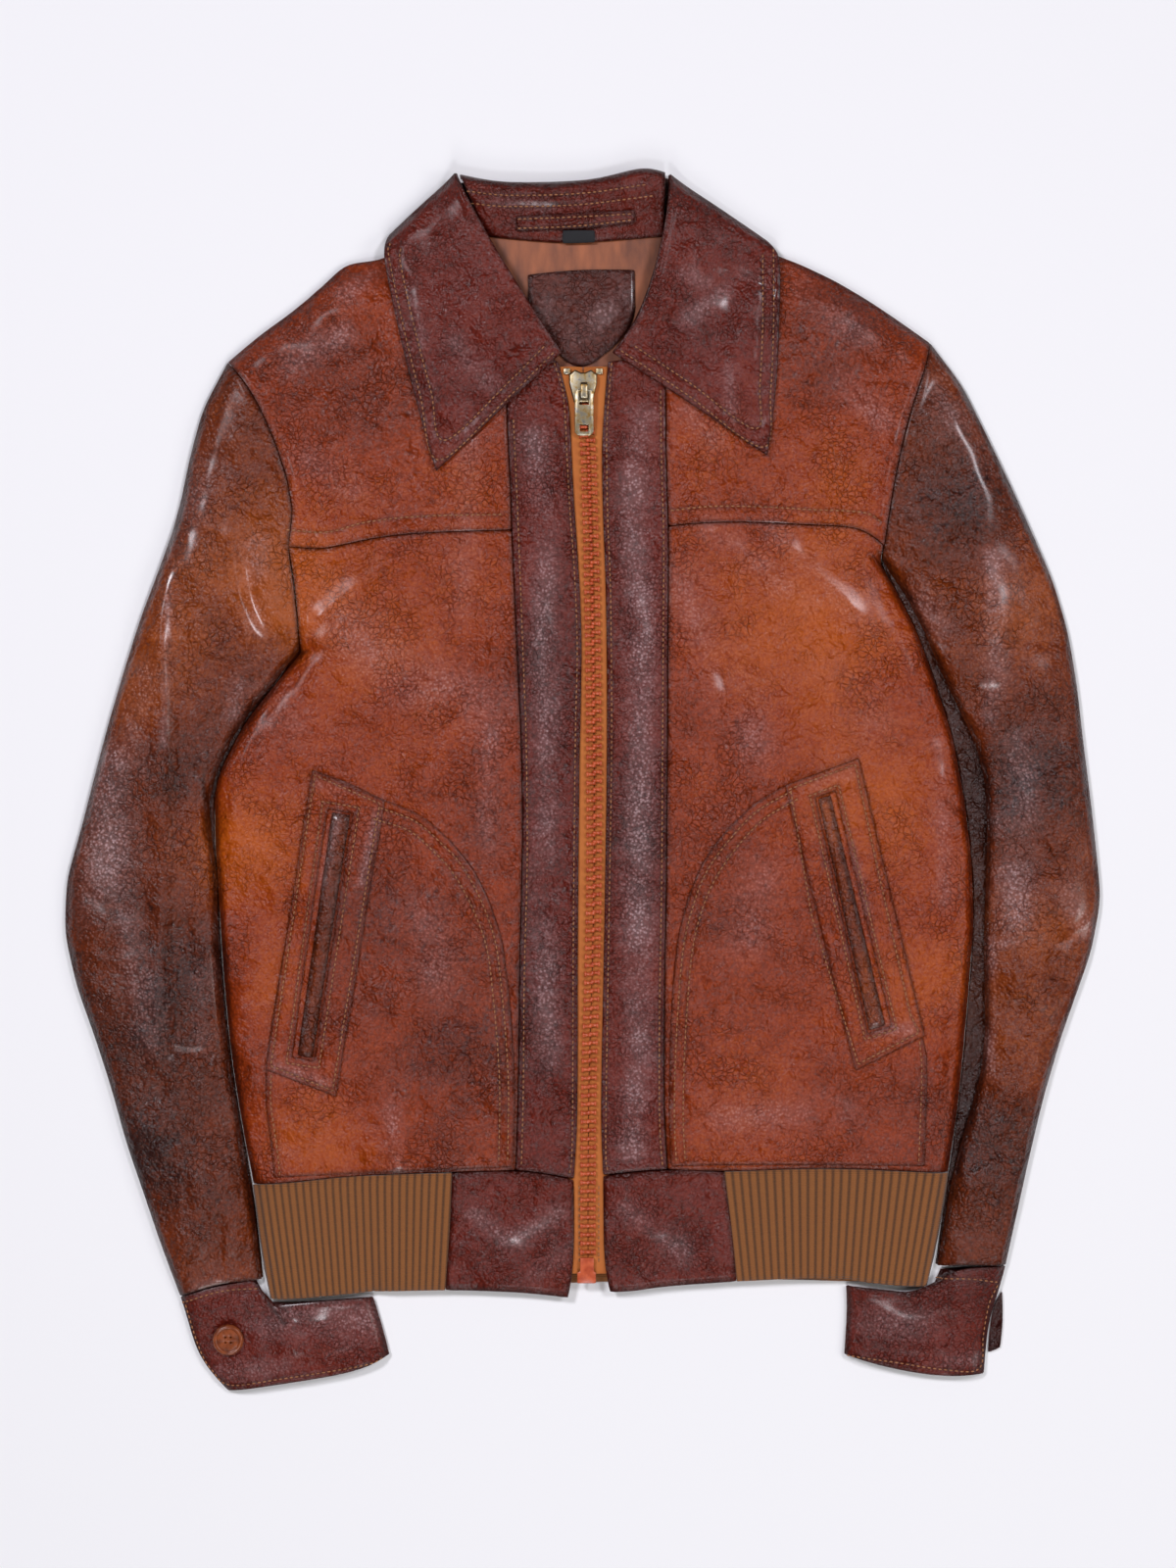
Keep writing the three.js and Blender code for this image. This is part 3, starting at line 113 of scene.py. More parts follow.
# Creases, listed: points, height in mm (below zero is a trough) and half-width in mm
CREASES = [
    # left sleeve
    ([(176, 542), (164, 615), (168, 704), (168, 868), (163, 1011), (164, 1139)], 1.4, 5),
    ([(186, 560), (178, 640), (182, 760), (180, 900)], -1.2, 5),
    ([(168, 1072), (196, 1076), (222, 1070)], -1.2, 3.5), ([(172, 1088), (200, 1094), (226, 1088)], 0.8, 4),
    ([(80, 905), (120, 925), (165, 930)], -0.8, 6), ([(75, 955), (112, 968), (150, 962)], -0.7, 5),
    ([(224, 1214), (225, 1262), (226, 1306)], -0.9, 2.5), ([(250, 560), (262, 620), (290, 660)], -1.6, 5),
    ([(236, 520), (240, 600), (268, 668)], 1.4, 6), ([(262, 480), (284, 540), (290, 600)], -1.0, 5),
    ([(205, 640), (225, 700), (215, 760)], -0.9, 7), ([(140, 1160), (165, 1220), (180, 1290)], -0.9, 6),
    ([(190, 1150), (205, 1220), (200, 1290)], 0.8, 6),
    # right sleeve
    ([(905, 560), (945, 580), (985, 600)], -1.4, 4), ([(920, 600), (960, 628), (1010, 634)], -1.3, 4),
    ([(935, 640), (975, 660), (1030, 660)], -1.0, 4), ([(955, 690), (995, 706), (1050, 700)], -1.0, 4.5),
    ([(960, 400), (1000, 480), (1010, 560)], 1.0, 8), ([(1000, 700), (1012, 800), (1008, 900)], 1.0, 6),
    ([(1120, 935), (1080, 960), (1030, 962)], -1.1, 4), ([(1115, 965), (1070, 990), (1020, 996)], 0.9, 5),
    ([(1100, 1010), (1060, 1024), (1015, 1030)], -0.9, 4.5),
    ([(1090, 1046), (1050, 1060), (1010, 1060)], 0.7, 5),
    ([(1040, 1080), (1030, 1160), (1020, 1240)], -0.8, 7), ([(1000, 1100), (990, 1180), (985, 1260)], 0.7, 6),
    # body
    ([(308, 647), (365, 600), (425, 555)], 1.1, 5), ([(300, 680), (350, 640), (400, 610)], -0.9, 6),
    ([(330, 330), (370, 352), (398, 372)], -1.3, 6), ([(300, 350), (350, 385), (400, 420)], 1.0, 8),
    ([(723, 541), (775, 580), (825, 617)], 0.9, 5), ([(740, 566), (800, 612), (860, 640)], -0.8, 6),
    ([(787, 541), (838, 590), (884, 635)], 0.8, 5), ([(700, 590), (736, 680), (770, 760)], -0.8, 6),
    ([(416, 1106), (410, 1150), (407, 1194)], 1.2, 4), ([(428, 1100), (424, 1150), (430, 1192)], -1.0, 4),
    ([(440, 1112), (446, 1150), (454, 1188)], 1.0, 4), ([(540, 1120), (556, 1150), (580, 1165)], 0.8, 4),
    ([(545, 1080), (560, 1110), (582, 1120)], -0.7, 4), ([(840, 1110), (880, 1150), (900, 1180)], -0.9, 5),
    ([(760, 1120), (800, 1150), (850, 1165)], 0.7, 6), ([(230, 860), (250, 960), (262, 1050)], -0.8, 6),
    ([(955, 820), (960, 920), (955, 1020)], -0.7, 6),
    # smaller ones of the fronts, plackets and yokes
    ([(640, 590), (655, 640), (648, 700)], 0.9, 5), ([(632, 700), (660, 740), (668, 800)], -0.7, 5),
    ([(545, 590), (560, 660), (548, 740)], 0.8, 5), ([(550, 760), (566, 830), (556, 900)], -0.6, 5),
    ([(640, 900), (655, 950), (645, 1010)], 0.8, 5), ([(640, 1030), (660, 1080), (652, 1150)], -0.7, 4),
    ([(330, 640), (400, 690), (480, 700)], 0.8, 9), ([(350, 760), (430, 790), (510, 780)], 0.8, 10),
    ([(700, 700), (780, 720), (860, 700)], 0.8, 10), ([(820, 640), (900, 700), (940, 760)], -0.8, 9),
    ([(420, 880), (400, 980), (420, 1080)], 0.8, 10), ([(455, 900), (450, 1000), (470, 1060)], -0.8, 9),
    ([(760, 880), (800, 960), (790, 1060)], 0.9, 10), ([(880, 980), (840, 900), (846, 830)], 0.5, 4),
    ([(255, 690), (240, 780), (236, 860)], 0.9, 8), ([(250, 960), (262, 1040), (258, 1140)], 0.8, 7),
    ([(960, 640), (972, 740), (968, 840)], 0.8, 8), ([(950, 900), (962, 1000), (950, 1100)], 0.8, 7),
    ([(300, 440), (340, 470), (400, 470)], 0.9, 8), ([(420, 430), (470, 460), (520, 450)], 0.7, 7),
    ([(800, 300), (860, 330), (930, 380)], 0.9, 9), ([(800, 420), (860, 460), (890, 510)], -0.8, 8),
    # collar: the notch in the right wing, and soft waves in both
    ([(644, 336), (668, 332), (692, 328)], -1.3, 3), ([(690, 325), (716, 312), (744, 318)], 0.8, 7),
    ([(734, 272), (764, 284), (792, 298)], -1.2, 3), ([(728, 262), (762, 270), (790, 284)], 0.8, 5),
    ([(760, 300), (768, 340), (764, 392)], 0.7, 5), ([(418, 268), (428, 300), (432, 340)], 0.8, 6),
    ([(470, 300), (500, 350), (520, 384)], 0.8, 7), ([(450, 330), (468, 390), (470, 430)], -0.7, 6),
    ([(500, 200), (560, 214), (620, 206)], -0.5, 4), ([(655, 196), (662, 214), (668, 232)], -0.8, 4),
    # cuffs and hem tabs
    ([(262, 1330), (300, 1352), (350, 1345)], -0.9, 4), ([(270, 1372), (320, 1378), (370, 1366)], 0.8, 4),
    ([(300, 1340), (310, 1370), (305, 1400)], -0.7, 3.5), ([(890, 1330), (930, 1350), (985, 1340)], -0.8, 4),
    ([(880, 1365), (930, 1376), (990, 1370)], 0.7, 4), ([(470, 1220), (500, 1262), (560, 1290)], -0.7, 4),
    ([(480, 1290), (520, 1260), (574, 1230)], 0.6, 4), ([(630, 1240), (670, 1270), (735, 1262)], -0.7, 4),
]

# Tone in listed patches: place, radius in grid steps, and amount, where above zero is lighter and more orange
TONES = [
    (250, 860, 70, 0.9), (270, 1010, 60, 0.7), (320, 610, 60, 0.8), (380, 700, 90, 0.35), (330, 500, 60, 0.4),
    (450, 600, 60, 0.35), (390, 980, 80, -0.25), (470, 1080, 60, -0.3), (300, 1160, 50, 0.5),
    (360, 1160, 50, 0.5), (480, 480, 60, 0.4), (350, 420, 70, -0.3), (300, 330, 50, -0.1),
    (840, 640, 90, 0.9), (900, 820, 80, 0.8), (760, 640, 80, 0.3), (930, 1000, 60, 0.8), (790, 950, 90, -0.1),
    (760, 1120, 90, 0.35), (720, 440, 60, 0.4), (860, 500, 70, 0.5), (850, 340, 60, -0.3),
    (560, 700, 50, -0.3), (650, 850, 50, -0.4), (560, 1050, 50, -0.2), (650, 450, 40, 0.1),
    (150, 700, 60, 0.7), (180, 620, 50, 0.6), (215, 430, 50, 0.2), (110, 900, 60, -0.2),
    (150, 1040, 70, -0.3), (200, 1000, 60, -0.5), (190, 780, 50, -0.5), (240, 560, 60, 0.4),
    (280, 600, 40, 0.9), (150, 1180, 60, -0.6), (980, 430, 60, 0.1), (1040, 620, 70, 0.6),
    (1090, 800, 60, -0.1), (1070, 950, 70, 0.5), (1030, 800, 50, -0.5), (1060, 1080, 60, 0.3),
    (1010, 1160, 60, -0.5), (960, 520, 60, -0.5),
]

# Strokes of painted pale violet sheen, with a glossier coat: points, half-width in grid steps, and amount
PAINTED_SHEENS = [
    ([(120, 780), (112, 860), (108, 930)], 22, 0.9), ([(120, 930), (140, 990), (160, 1060)], 16, 0.6),
    ([(262, 560), (262, 640)], 12, 0.6), ([(246, 690), (240, 730)], 9, 0.5),
    ([(205, 480), (185, 560)], 16, 0.35), ([(150, 690), (132, 760)], 14, 0.4),
    ([(215, 990), (206, 1060)], 12, 0.4), ([(176, 520), (168, 760)], 4, 0.7),
    ([(1012, 570), (1016, 650), (1012, 730)], 10, 1.0), ([(1036, 750), (1044, 830)], 14, 0.7),
    ([(1028, 840), (1036, 935)], 18, 0.8), ([(1090, 912), (1106, 945)], 11, 0.7),
    ([(960, 400), (1000, 500)], 16, 0.4), ([(935, 600), (960, 640)], 12, 0.4),
    ([(1012, 960), (1008, 1100)], 6, 0.6), ([(1060, 955), (1020, 962)], 5, 0.5),
    ([(545, 450), (556, 560), (556, 700), (558, 830), (554, 930), (560, 1080)], 13, 0.8),
    ([(658, 430), (646, 520), (654, 640), (654, 760), (650, 900), (654, 1040), (645, 1170)], 14, 0.9),
    ([(350, 640), (420, 690), (500, 720)], 26, 0.4), ([(315, 470), (360, 500)], 14, 0.4),
    ([(480, 450), (470, 620)], 12, 0.3), ([(265, 700), (300, 740)], 14, 0.35),
    ([(500, 740), (500, 860)], 12, 0.45), ([(400, 1130), (404, 1190)], 8, 0.5),
    ([(725, 540), (825, 617)], 12, 0.4), ([(790, 541), (884, 635)], 12, 0.4),
    ([(700, 590), (770, 760)], 22, 0.35), ([(850, 690), (890, 740)], 18, 0.35),
    ([(735, 1140), (860, 1130)], 16, 0.3), ([(955, 760), (965, 920)], 8, 0.4),
    ([(296, 372), (350, 340)], 12, 0.5), ([(350, 300), (385, 280)], 9, 0.6),
    ([(820, 300), (880, 340)], 14, 0.5), ([(700, 420), (730, 450)], 10, 0.4),
    ([(860, 390), (900, 430)], 12, 0.35), ([(418, 300), (432, 350)], 7, 0.5),
    ([(462, 350), (500, 390)], 10, 0.5), ([(700, 330), (740, 300)], 9, 0.9),
    ([(700, 280), (720, 292)], 8, 0.5), ([(756, 278), (786, 300)], 6, 0.7),
    ([(742, 380), (746, 420)], 7, 0.4), ([(600, 330), (640, 298)], 10, 0.8),
    ([(560, 312), (584, 340)], 9, 0.7), ([(500, 205), (560, 212)], 5, 0.4),
    ([(430, 930), (450, 1010)], 20, 0.3), ([(780, 890), (760, 960)], 20, 0.3),
    ([(345, 830), (330, 900)], 5, 0.5), ([(385, 830), (370, 900)], 5, 0.7),
    ([(285, 1090), (335, 1105)], 7, 0.7), ([(320, 800), (350, 806)], 6, 0.5),
    ([(835, 800), (868, 792)], 6, 0.6), ([(895, 1050), (928, 1050)], 7, 0.6),
    ([(868, 860), (884, 930)], 4, 0.5), ([(270, 1345), (330, 1345), (370, 1350)], 18, 0.7),
    ([(220, 1400), (290, 1396)], 9, 0.6), ([(190, 1318), (225, 1312)], 6, 0.6),
    ([(880, 1345), (940, 1350)], 16, 0.45), ([(955, 1392), (1000, 1386)], 7, 0.4),
    ([(480, 1240), (520, 1262), (570, 1235)], 10, 0.7), ([(545, 1300), (575, 1280)], 8, 0.5),
    ([(640, 1235), (700, 1280)], 10, 0.6),
]


def beside(line, plan, margin):
    """Which plan points lie in the box round a line, widened by a margin."""
    return np.all((plan > line.min(0) - margin) & (plan < line.max(0) + margin), axis=1)


def from_segment(points, a, d, size):
    """How far points are from the segment along d from a, and the share of it at which they are nearest."""
    t = np.clip(((points - a) @ d) / size, 0, 1)
    return np.linalg.norm(points - a - t[:, None] * d, axis=1), t


def nearest_on(line, points):
    """How far each plan point is from a line, and the share of the line at which it is nearest."""
    steps = np.linalg.norm(np.diff(line, axis=0), axis=1)
    starts = np.concatenate([[0], np.cumsum(steps)])
    best = np.full(len(points), np.inf)
    share = np.zeros(len(points))
    for k, step in enumerate(steps):
        far, t = from_segment(points, line[k], line[k + 1] - line[k], step * step)
        closer = far < best
        best = np.where(closer, far, best)
        share = np.where(closer, (starts[k] + t * step) / starts[-1], share)
    return best, share


def smooth_line(points, count=24):
    """A rounded line through places in the grid."""
    line = line_of(points)
    if len(line) < 3:
        return line
    padded = np.vstack([2 * line[0] - line[1], line, 2 * line[-1] - line[-2]])
    out = []
    for k in range(len(line) - 1):
        a, b, c, d = padded[k:k + 4]
        for t in np.linspace(0, 1, max(2, count // (len(line) - 1)), endpoint=False):
            out.append(0.5 * (2 * b + (c - a) * t + (2 * a - 5 * b + 4 * c - d) * t * t
                              + (3 * b - a - 3 * c + d) * t ** 3))
    return np.array([*out, line[-1]])


CREASE_REACH = 3  # in half-widths
END_FADE, END_SHARE = 5, 0.15  # how fast a crease fades at its ends, and what is left of it there


class Crease:
    """One soft trough or ridge, fading at its ends."""

    def __init__(self, points, height, half_width):
        self.line = smooth_line(points)
        self.height = height * MM
        self.width = half_width * MM

    def lift(self, plan):
        near = beside(self.line, plan, CREASE_REACH * self.width)
        out = np.zeros(len(plan))
        if near.any():
            far, share = nearest_on(self.line, plan[near])
            fade = np.clip(np.minimum(share, 1 - share) * END_FADE + END_SHARE, 0, 1)
            out[near] = self.height * np.exp(-((far / self.width) ** 2)) * fade
        return out


CREASE_SHAPES = [Crease(*c) for c in CREASES]
RUMPLE = 1.1 * MM


def relief(plan, strength):
    """How much the upper cloth rises at each plan point: creases, and small rumples between them."""
    out = sum(c.lift(plan) for c in CREASE_SHAPES) * strength
    # rumples of 26 to 45 mm, with others of 12 to 14 mm on them
    rumple = np.array([
        0.5 * noise.noise(Vector((x * 38, y * 22, 1.7))) + 0.35 * noise.noise(Vector((x * 85, y * 70, 9.1)))
        for x, y in plan])
    return out + rumple * RUMPLE * strength


def tone_at(plan):
    """The painted tone at plan points, from -1 to 1."""
    out = np.zeros(len(plan))
    for x, y, radius, amount in TONES:
        far = np.linalg.norm(plan - np.array(at(x, y)), axis=1) / (radius * STEP)
        out += amount * np.exp(-far * far)
    return np.clip(out, -1, 1)


def painted_sheen_at(plan):
    """The painted sheen at plan points."""
    out = np.zeros(len(plan))
    for points, half_width, amount in PAINTED_SHEENS:
        line, width = smooth_line(points, 8), half_width * STEP
        near = beside(line, plan, 2.5 * width)
        if near.any():
            far = nearest_on(line, plan[near])[0] / width
            out[near] = np.maximum(out[near], amount * np.exp(-far * far))
    return out


# Stitch rows, as points: the cloth dips along each, and thread is laid in it
STITCH_ROWS = {
    "front": [
        [(294, 541), (335, 543), (374, 533), (430, 527), (516, 525)],
        [(686, 521), (723, 517), (767, 517), (825, 520), (880, 523), (898, 532)],
        [(524, 430), (526, 474), (529, 541), (534, 675), (537, 760), (538, 877), (535, 995), (534, 1112),
         (532, 1190)],
        [(674, 400), (675, 474), (677, 541), (677, 608), (676, 760), (675, 907), (673, 1024), (673, 1141),
         (676, 1190)],
        [(566, 372), (575, 404), (579, 474), (582, 527), (586, 581), (589, 661), (587, 760), (585, 960),
         (584, 1160), (581, 1200)],
        [(624, 372), (621, 407), (619, 447), (620, 527), (623, 608), (624, 760), (621, 960), (618, 1160),
         (620, 1196)],
        [(390, 825), (424, 838), (451, 861), (472, 884), (492, 921), (506, 963), (512, 1011), (516, 1055),
         (519, 1112), (518, 1186)],
        [(383, 836), (418, 848), (444, 870), (464, 893), (483, 928), (497, 968), (503, 1014), (507, 1058),
         (510, 1112), (509, 1186)],
        [(806, 808), (772, 828), (744, 857), (720, 891), (706, 928), (697, 968), (692, 1026), (689, 1083),
         (688, 1141), (690, 1186)],
        [(812, 816), (779, 836), (752, 864), (729, 898), (715, 932), (706, 972), (701, 1029), (698, 1084),
         (697, 1141), (699, 1184)],
        [(277, 1098), (277, 1127), (283, 1170), (286, 1198)],
        [(938, 1064), (940, 1097), (937, 1186)],
        [(322, 791), (388, 820), (340, 1112), (277, 1087), (322, 791)],
        [(330, 818), (367, 824), (326, 1089), (293, 1084), (330, 818)],
        [(806, 805), (872, 780), (893, 878), (928, 1034), (937, 1053), (875, 1085), (857, 1028), (828, 935),
         (806, 805)],
        [(826, 812), (855, 801), (914, 1049), (882, 1060), (826, 812)],
        [(591, 1212), (591, 1290)], [(611, 1212), (611, 1290)],
    ],
    "collar": [
        [(398, 250), (397, 262), (411, 330), (429, 404), (448, 470), (518, 407), (566, 360)],
        [(409, 256), (409, 270), (422, 330), (440, 400), (454, 450), (518, 392), (558, 352)],
        [(789, 256), (789, 330), (786, 400), (778, 457), (700, 403), (632, 358)],
        [(778, 262), (778, 330), (775, 395), (770, 438), (704, 392), (644, 352)],
        [(478, 196), (520, 200), (593, 198), (660, 189)],
        [(482, 208), (520, 211), (593, 209), (668, 200)],
        [(530, 224), (588, 222), (644, 219)], [(530, 233), (588, 231), (644, 225)],
    ],
    "cuffs": [
        [(186, 1330), (224, 1318), (262, 1315)],
        [(189, 1334), (198, 1364), (207, 1387), (216, 1400), (233, 1414), (283, 1408), (369, 1394),
         (391, 1386)],
        [(866, 1384), (911, 1390), (965, 1398), (1000, 1397), (1004, 1364), (1010, 1331), (1019, 1312)],
        [(955, 1305), (990, 1305), (1018, 1309)],
    ],
}


def stitch_line(row):
    """A row as a line: frames sewn all round keep their corners, the others are rounded."""
    return line_of(row) if row[0] == row[-1] else smooth_line(row, 60)


# Colour and material
def linear(hex_colour):
    """An sRGB hex colour as Blender's linear colour."""
    parts = [int(hex_colour[i:i + 2], 16) / 255 for i in (1, 3, 5)]
    return (*[c / 12.92 if c <= 0.04045 else ((c + 0.055) / 1.055) ** 2.4 for c in parts], 1)


def add_node(tree, kind, links=None, props=None, **settings):
    """Adds a node: settings are its inputs' values by name or number, links join inputs to other outputs."""
    node = tree.nodes.new(kind)
    for name, value in (props or {}).items():
        setattr(node, name, value)
    for name, value in settings.items():
        node.inputs[int(name[1:]) if name[1:].isdigit() else name.replace("_", " ")].default_value = value
    for name, output in (links or {}).items():
        tree.links.new(output, node.inputs[name])
    return node


def blank(name):
    """A material with an empty tree."""
    material = bpy.data.materials.new(name)
    material.use_nodes = True
    material.node_tree.nodes.clear()
    return material, material.node_tree


def surfaced(material, links, **settings):
    """Ends a material in its surface."""
    shader = add_node(material.node_tree, "ShaderNodeBsdfPrincipled", links, **settings)
    add_node(material.node_tree, "ShaderNodeOutputMaterial", {0: shader.outputs[0]})
    return material


def in_mm(tree, stretch=(1, 1, 1)):
    """Object coordinates in millimetres, stretched where a pattern runs one way."""
    coords = tree.nodes.new("ShaderNodeTexCoord")
    scale = tuple(1000 * s for s in stretch)
    return add_node(tree, "ShaderNodeMapping", {"Vector": coords.outputs["Object"]}, Scale=scale).outputs[0]


def noise_of(tree, where, scale, detail, rough=0.5):
    """Cloudy noise: scale is in waves per millimetre."""
    return add_node(tree, "ShaderNodeTexNoise", {"Vector": where}, Scale=scale, Detail=detail,
                    Roughness=rough).outputs[0]


def ramp(tree, source, stops):
    """Colours along a value from 0 to 1."""
    node = add_node(tree, "ShaderNodeValToRGB", {"Fac": source})
    while len(node.color_ramp.elements) < len(stops):
        node.color_ramp.elements.new(0.5)
    for element, (place, colour) in zip(node.color_ramp.elements, stops):
        element.position = place
        element.color = colour
    return node.outputs[0]


def grey(value):
    return (value, value, value, 1)


def attribute_of(tree, name):
    return add_node(tree, "ShaderNodeAttribute", props={"attribute_name": name}).outputs["Fac"]


def math_of(tree, operation, first, second, third=None):
    """A Math node: each value is a number or another node's output."""
    node = add_node(tree, "ShaderNodeMath", props={"operation": operation})
    for index, value in enumerate((first, second, third)):
        if isinstance(value, (int, float)):
            node.inputs[index].default_value = value
        elif value is not None:
            tree.links.new(value, node.inputs[index])
    return node.outputs[0]


def mix_of(tree, amount, first, second):
    """A colour between an output and a fixed colour."""
    return add_node(tree, "ShaderNodeMix", {0: amount, 6: first}, {"data_type": "RGBA"}, i7=second).outputs[2]


def spread(tree, value, low, high, start=0.0, end=1.0):
    """Turns the range from low to high into the one from start to end."""
    return add_node(tree, "ShaderNodeMapRange", {"Value": value}, From_Min=low, From_Max=high, To_Min=start,
                    To_Max=end).outputs[0]


def bump_of(tree, height, strength, distance, normal=None, sunk=False):
    """A bump, on top of another if there is one: sunk turns heights into depths."""
    links = {"Height": height} if normal is None else {"Height": height, "Normal": normal}
    return add_node(tree, "ShaderNodeBump", links, {"invert": sunk}, Strength=strength,
                    Distance=distance).outputs[0]


def leather(name, dark, middle, light, roughness, grain=1.9, crackle=3.6):
    """Aniline cowhide, plated and polished by years of wear: mottled dye, pebbled grain, a net of fine
    creases, painted shade at seams, stitch rows and under other layers, and painted pale violet sheen in
    glossier strokes."""
    material, tree = blank(name)
    place = in_mm(tree)
    warp = add_node(tree, "ShaderNodeTexNoise", {"Vector": place}, Scale=0.09, Detail=3.0).outputs["Color"]
    bent = add_node(tree, "ShaderNodeVectorMath", {0: warp, 2: place}, {"operation": "MULTIPLY_ADD"},
                    i1=(9, 9, 9)).outputs[0]
    clouds = noise_of(tree, place, 0.022, 5.0, 0.6)
    mottle = noise_of(tree, place, 0.16, 6.0, 0.7)
    wrinkles = noise_of(tree, bent, 0.2, 4.0, 0.55)
    pores = noise_of(tree, place, 1.3, 4.0)
    pebbles = add_node(tree, "ShaderNodeTexVoronoi", {"Vector": place}, {"feature": "SMOOTH_F1"},
                       Scale=1 / grain, Smoothness=0.6).outputs["Distance"]
    # fine creases: edges of irregular cells, strong only here and there
    cells = add_node(tree, "ShaderNodeTexVoronoi", {"Vector": bent}, {"feature": "DISTANCE_TO_EDGE"},
                     Scale=1 / crackle).outputs["Distance"]
    patches = spread(tree, noise_of(tree, place, 0.035, 2.0), 0.42, 0.62)
    fine = math_of(tree, "MULTIPLY", spread(tree, cells, 0.0, 0.14, 1.0, 0.0), patches)
    # dye
    level = math_of(tree, "MULTIPLY_ADD", clouds, 0.5, -0.25)
    level = math_of(tree, "MULTIPLY_ADD", attribute_of(tree, "tone"), 0.4, level)
    level = math_of(tree, "MULTIPLY_ADD", mottle, 0.45, math_of(tree, "ADD", level, 0.12))
    level = math_of(tree, "MULTIPLY_ADD", pores, 0.25, math_of(tree, "ADD", level, 0.05))
    level = math_of(tree, "MULTIPLY_ADD", pebbles, -0.3, level)
    colour = ramp(tree, level, [(0.1, linear(dark)), (0.45, linear(middle)), (0.85, linear(light))])
    colour = mix_of(tree, math_of(tree, "MULTIPLY", fine, 0.5), colour, linear(dark))
    # painted sheen: rubbed is its strength, a pale violet highlight in broken streaks on the tops of the grain
    rubbed = attribute_of(tree, "painted_sheen")
    smear = math_of(tree, "MULTIPLY_ADD", pores, 0.45, noise_of(tree, place, 0.03, 4.0))
    streaks = spread(tree, smear, 0.55, 0.9, 0.0, 0.6)
    knobs = spread(tree, pebbles, 0.12, 0.5, 1.25, 0.25)
    painted_sheen = math_of(tree, "MULTIPLY", math_of(tree, "MULTIPLY", rubbed, streaks), knobs)
    colour = mix_of(tree, painted_sheen, colour, linear("#d3b4b6"))
    # painted shade at the seams, along the stitch rows and over the layers lying beneath
    shade_colour = tuple(0.4 * c for c in linear(dark)[:3]) + (1,)
    colour = mix_of(tree, math_of(tree, "MULTIPLY", attribute_of(tree, "edge"), 0.8), colour, shade_colour)
    rough = math_of(tree, "MULTIPLY_ADD", painted_sheen, -0.12, ramp(
        tree, mottle, [(0.3, grey(roughness - 0.06)), (0.7, grey(roughness + 0.1))]))
    polish = math_of(tree, "MULTIPLY_ADD", rubbed, 0.85, 0.06)
    normal = bump_of(tree, noise_of(tree, bent, 0.028, 2.0, 0.4), 1.0, 0.016)
    for height, strength, distance, sunk in ((wrinkles, 0.7, 0.0018, False), (pebbles, 0.7, 0.0007, True),
                                             (pores, 0.4, 0.0003, False), (fine, 0.7, 0.0005, True)):
        normal = bump_of(tree, height, strength, distance, normal, sunk)
    links = {"Base Color": colour, "Roughness": rough, "Normal": normal, "Coat Weight": polish}
    return surfaced(material, links, IOR=1.5, Specular_IOR_Level=0.28, Coat_Roughness=0.18)


def knit_wool(colour, valley):
    """Ribbed acrylic and wool knit: cords painted light and their valleys painted dark as shade, fuzzy, with
    no gloss.
    """
    material, tree = blank("ribbed_knit")
    place = in_mm(tree)
    fuzz = noise_of(tree, place, 0.9, 5.0)
    loops = add_node(tree, "ShaderNodeTexWave", {"Vector": place}, {"bands_direction": "Y"},
                     Scale=0.24, Distortion=2.0, Detail=2.0).outputs[1]
    lit = math_of(tree, "MULTIPLY_ADD", fuzz, 0.3, attribute_of(tree, "rib"))
    shade = ramp(tree, lit, [(0.1, linear(valley)), (0.75, linear(colour))])
    normal = bump_of(tree, fuzz, 0.5, 0.0004, bump_of(tree, loops, 0.5, 0.0005))
    return surfaced(material, {"Base Color": shade, "Normal": normal}, Roughness=0.9, Sheen_Weight=0.25)


def satin(colour, dark):
    """Acetate satin lining: smooth, with soft highlights across the fold."""
    material, tree = blank("satin_lining")
    streaks = noise_of(tree, in_mm(tree, (1, 0.3, 1)), 0.12, 4.0)
    shade = ramp(tree, streaks, [(0.3, linear(dark)), (0.7, linear(colour))])
    normal = bump_of(tree, noise_of(tree, in_mm(tree, (0.4, 3, 1)), 1.0, 2.0), 0.25, 0.0002)
    return surfaced(material, {"Base Color": shade, "Normal": normal}, Roughness=0.42, Sheen_Weight=0.3)


def woven(name, colour, dark, thread_mm):
    """Polyester tape, tag or bonded thread: a fine diagonal weave or twist, drawn coarser so that it shows."""
    material, tree = blank(name)
    place = in_mm(tree)
    warp = add_node(tree, "ShaderNodeTexWave", {"Vector": place}, {"bands_direction": "DIAGONAL"},
                    Scale=0.3 / thread_mm, Distortion=0.6).outputs[1]
    lit = math_of(tree, "MULTIPLY_ADD", warp, 0.35, noise_of(tree, place, 0.08, 4.0))
    shade = ramp(tree, lit, [(0.3, linear(dark)), (0.8, linear(colour))])
    return surfaced(material, {"Base Color": shade, "Normal": bump_of(tree, warp, 0.4, 0.0003)}, Roughness=0.8)


def moulded(name, colour, dark, roughness):
    """Moulded acetal, with its gloss rubbed off in places."""
    material, tree = blank(name)
    dirt = noise_of(tree, in_mm(tree), 0.25, 5.0)
    shade = ramp(tree, dirt, [(0.3, linear(dark)), (0.6, linear(colour))])
    return surfaced(material, {"Base Color": shade}, Roughness=roughness, IOR=1.48)


def old_brass():
    """Nickelled brass whose plating has worn through on the edges."""
    material, tree = blank("worn_nickelled_brass")
    worn = noise_of(tree, in_mm(tree), 0.35, 6.0)
    shade = ramp(tree, worn, [(0.35, linear("#8a6c3c")), (0.5, linear("#a89a7c")), (0.7, linear("#b9b5aa"))])
    rough = ramp(tree, worn, [(0.3, grey(0.45)), (0.7, grey(0.25))])
    return surfaced(material, {"Base Color": shade, "Roughness": rough}, Metallic=1.0)


MATERIALS = {}


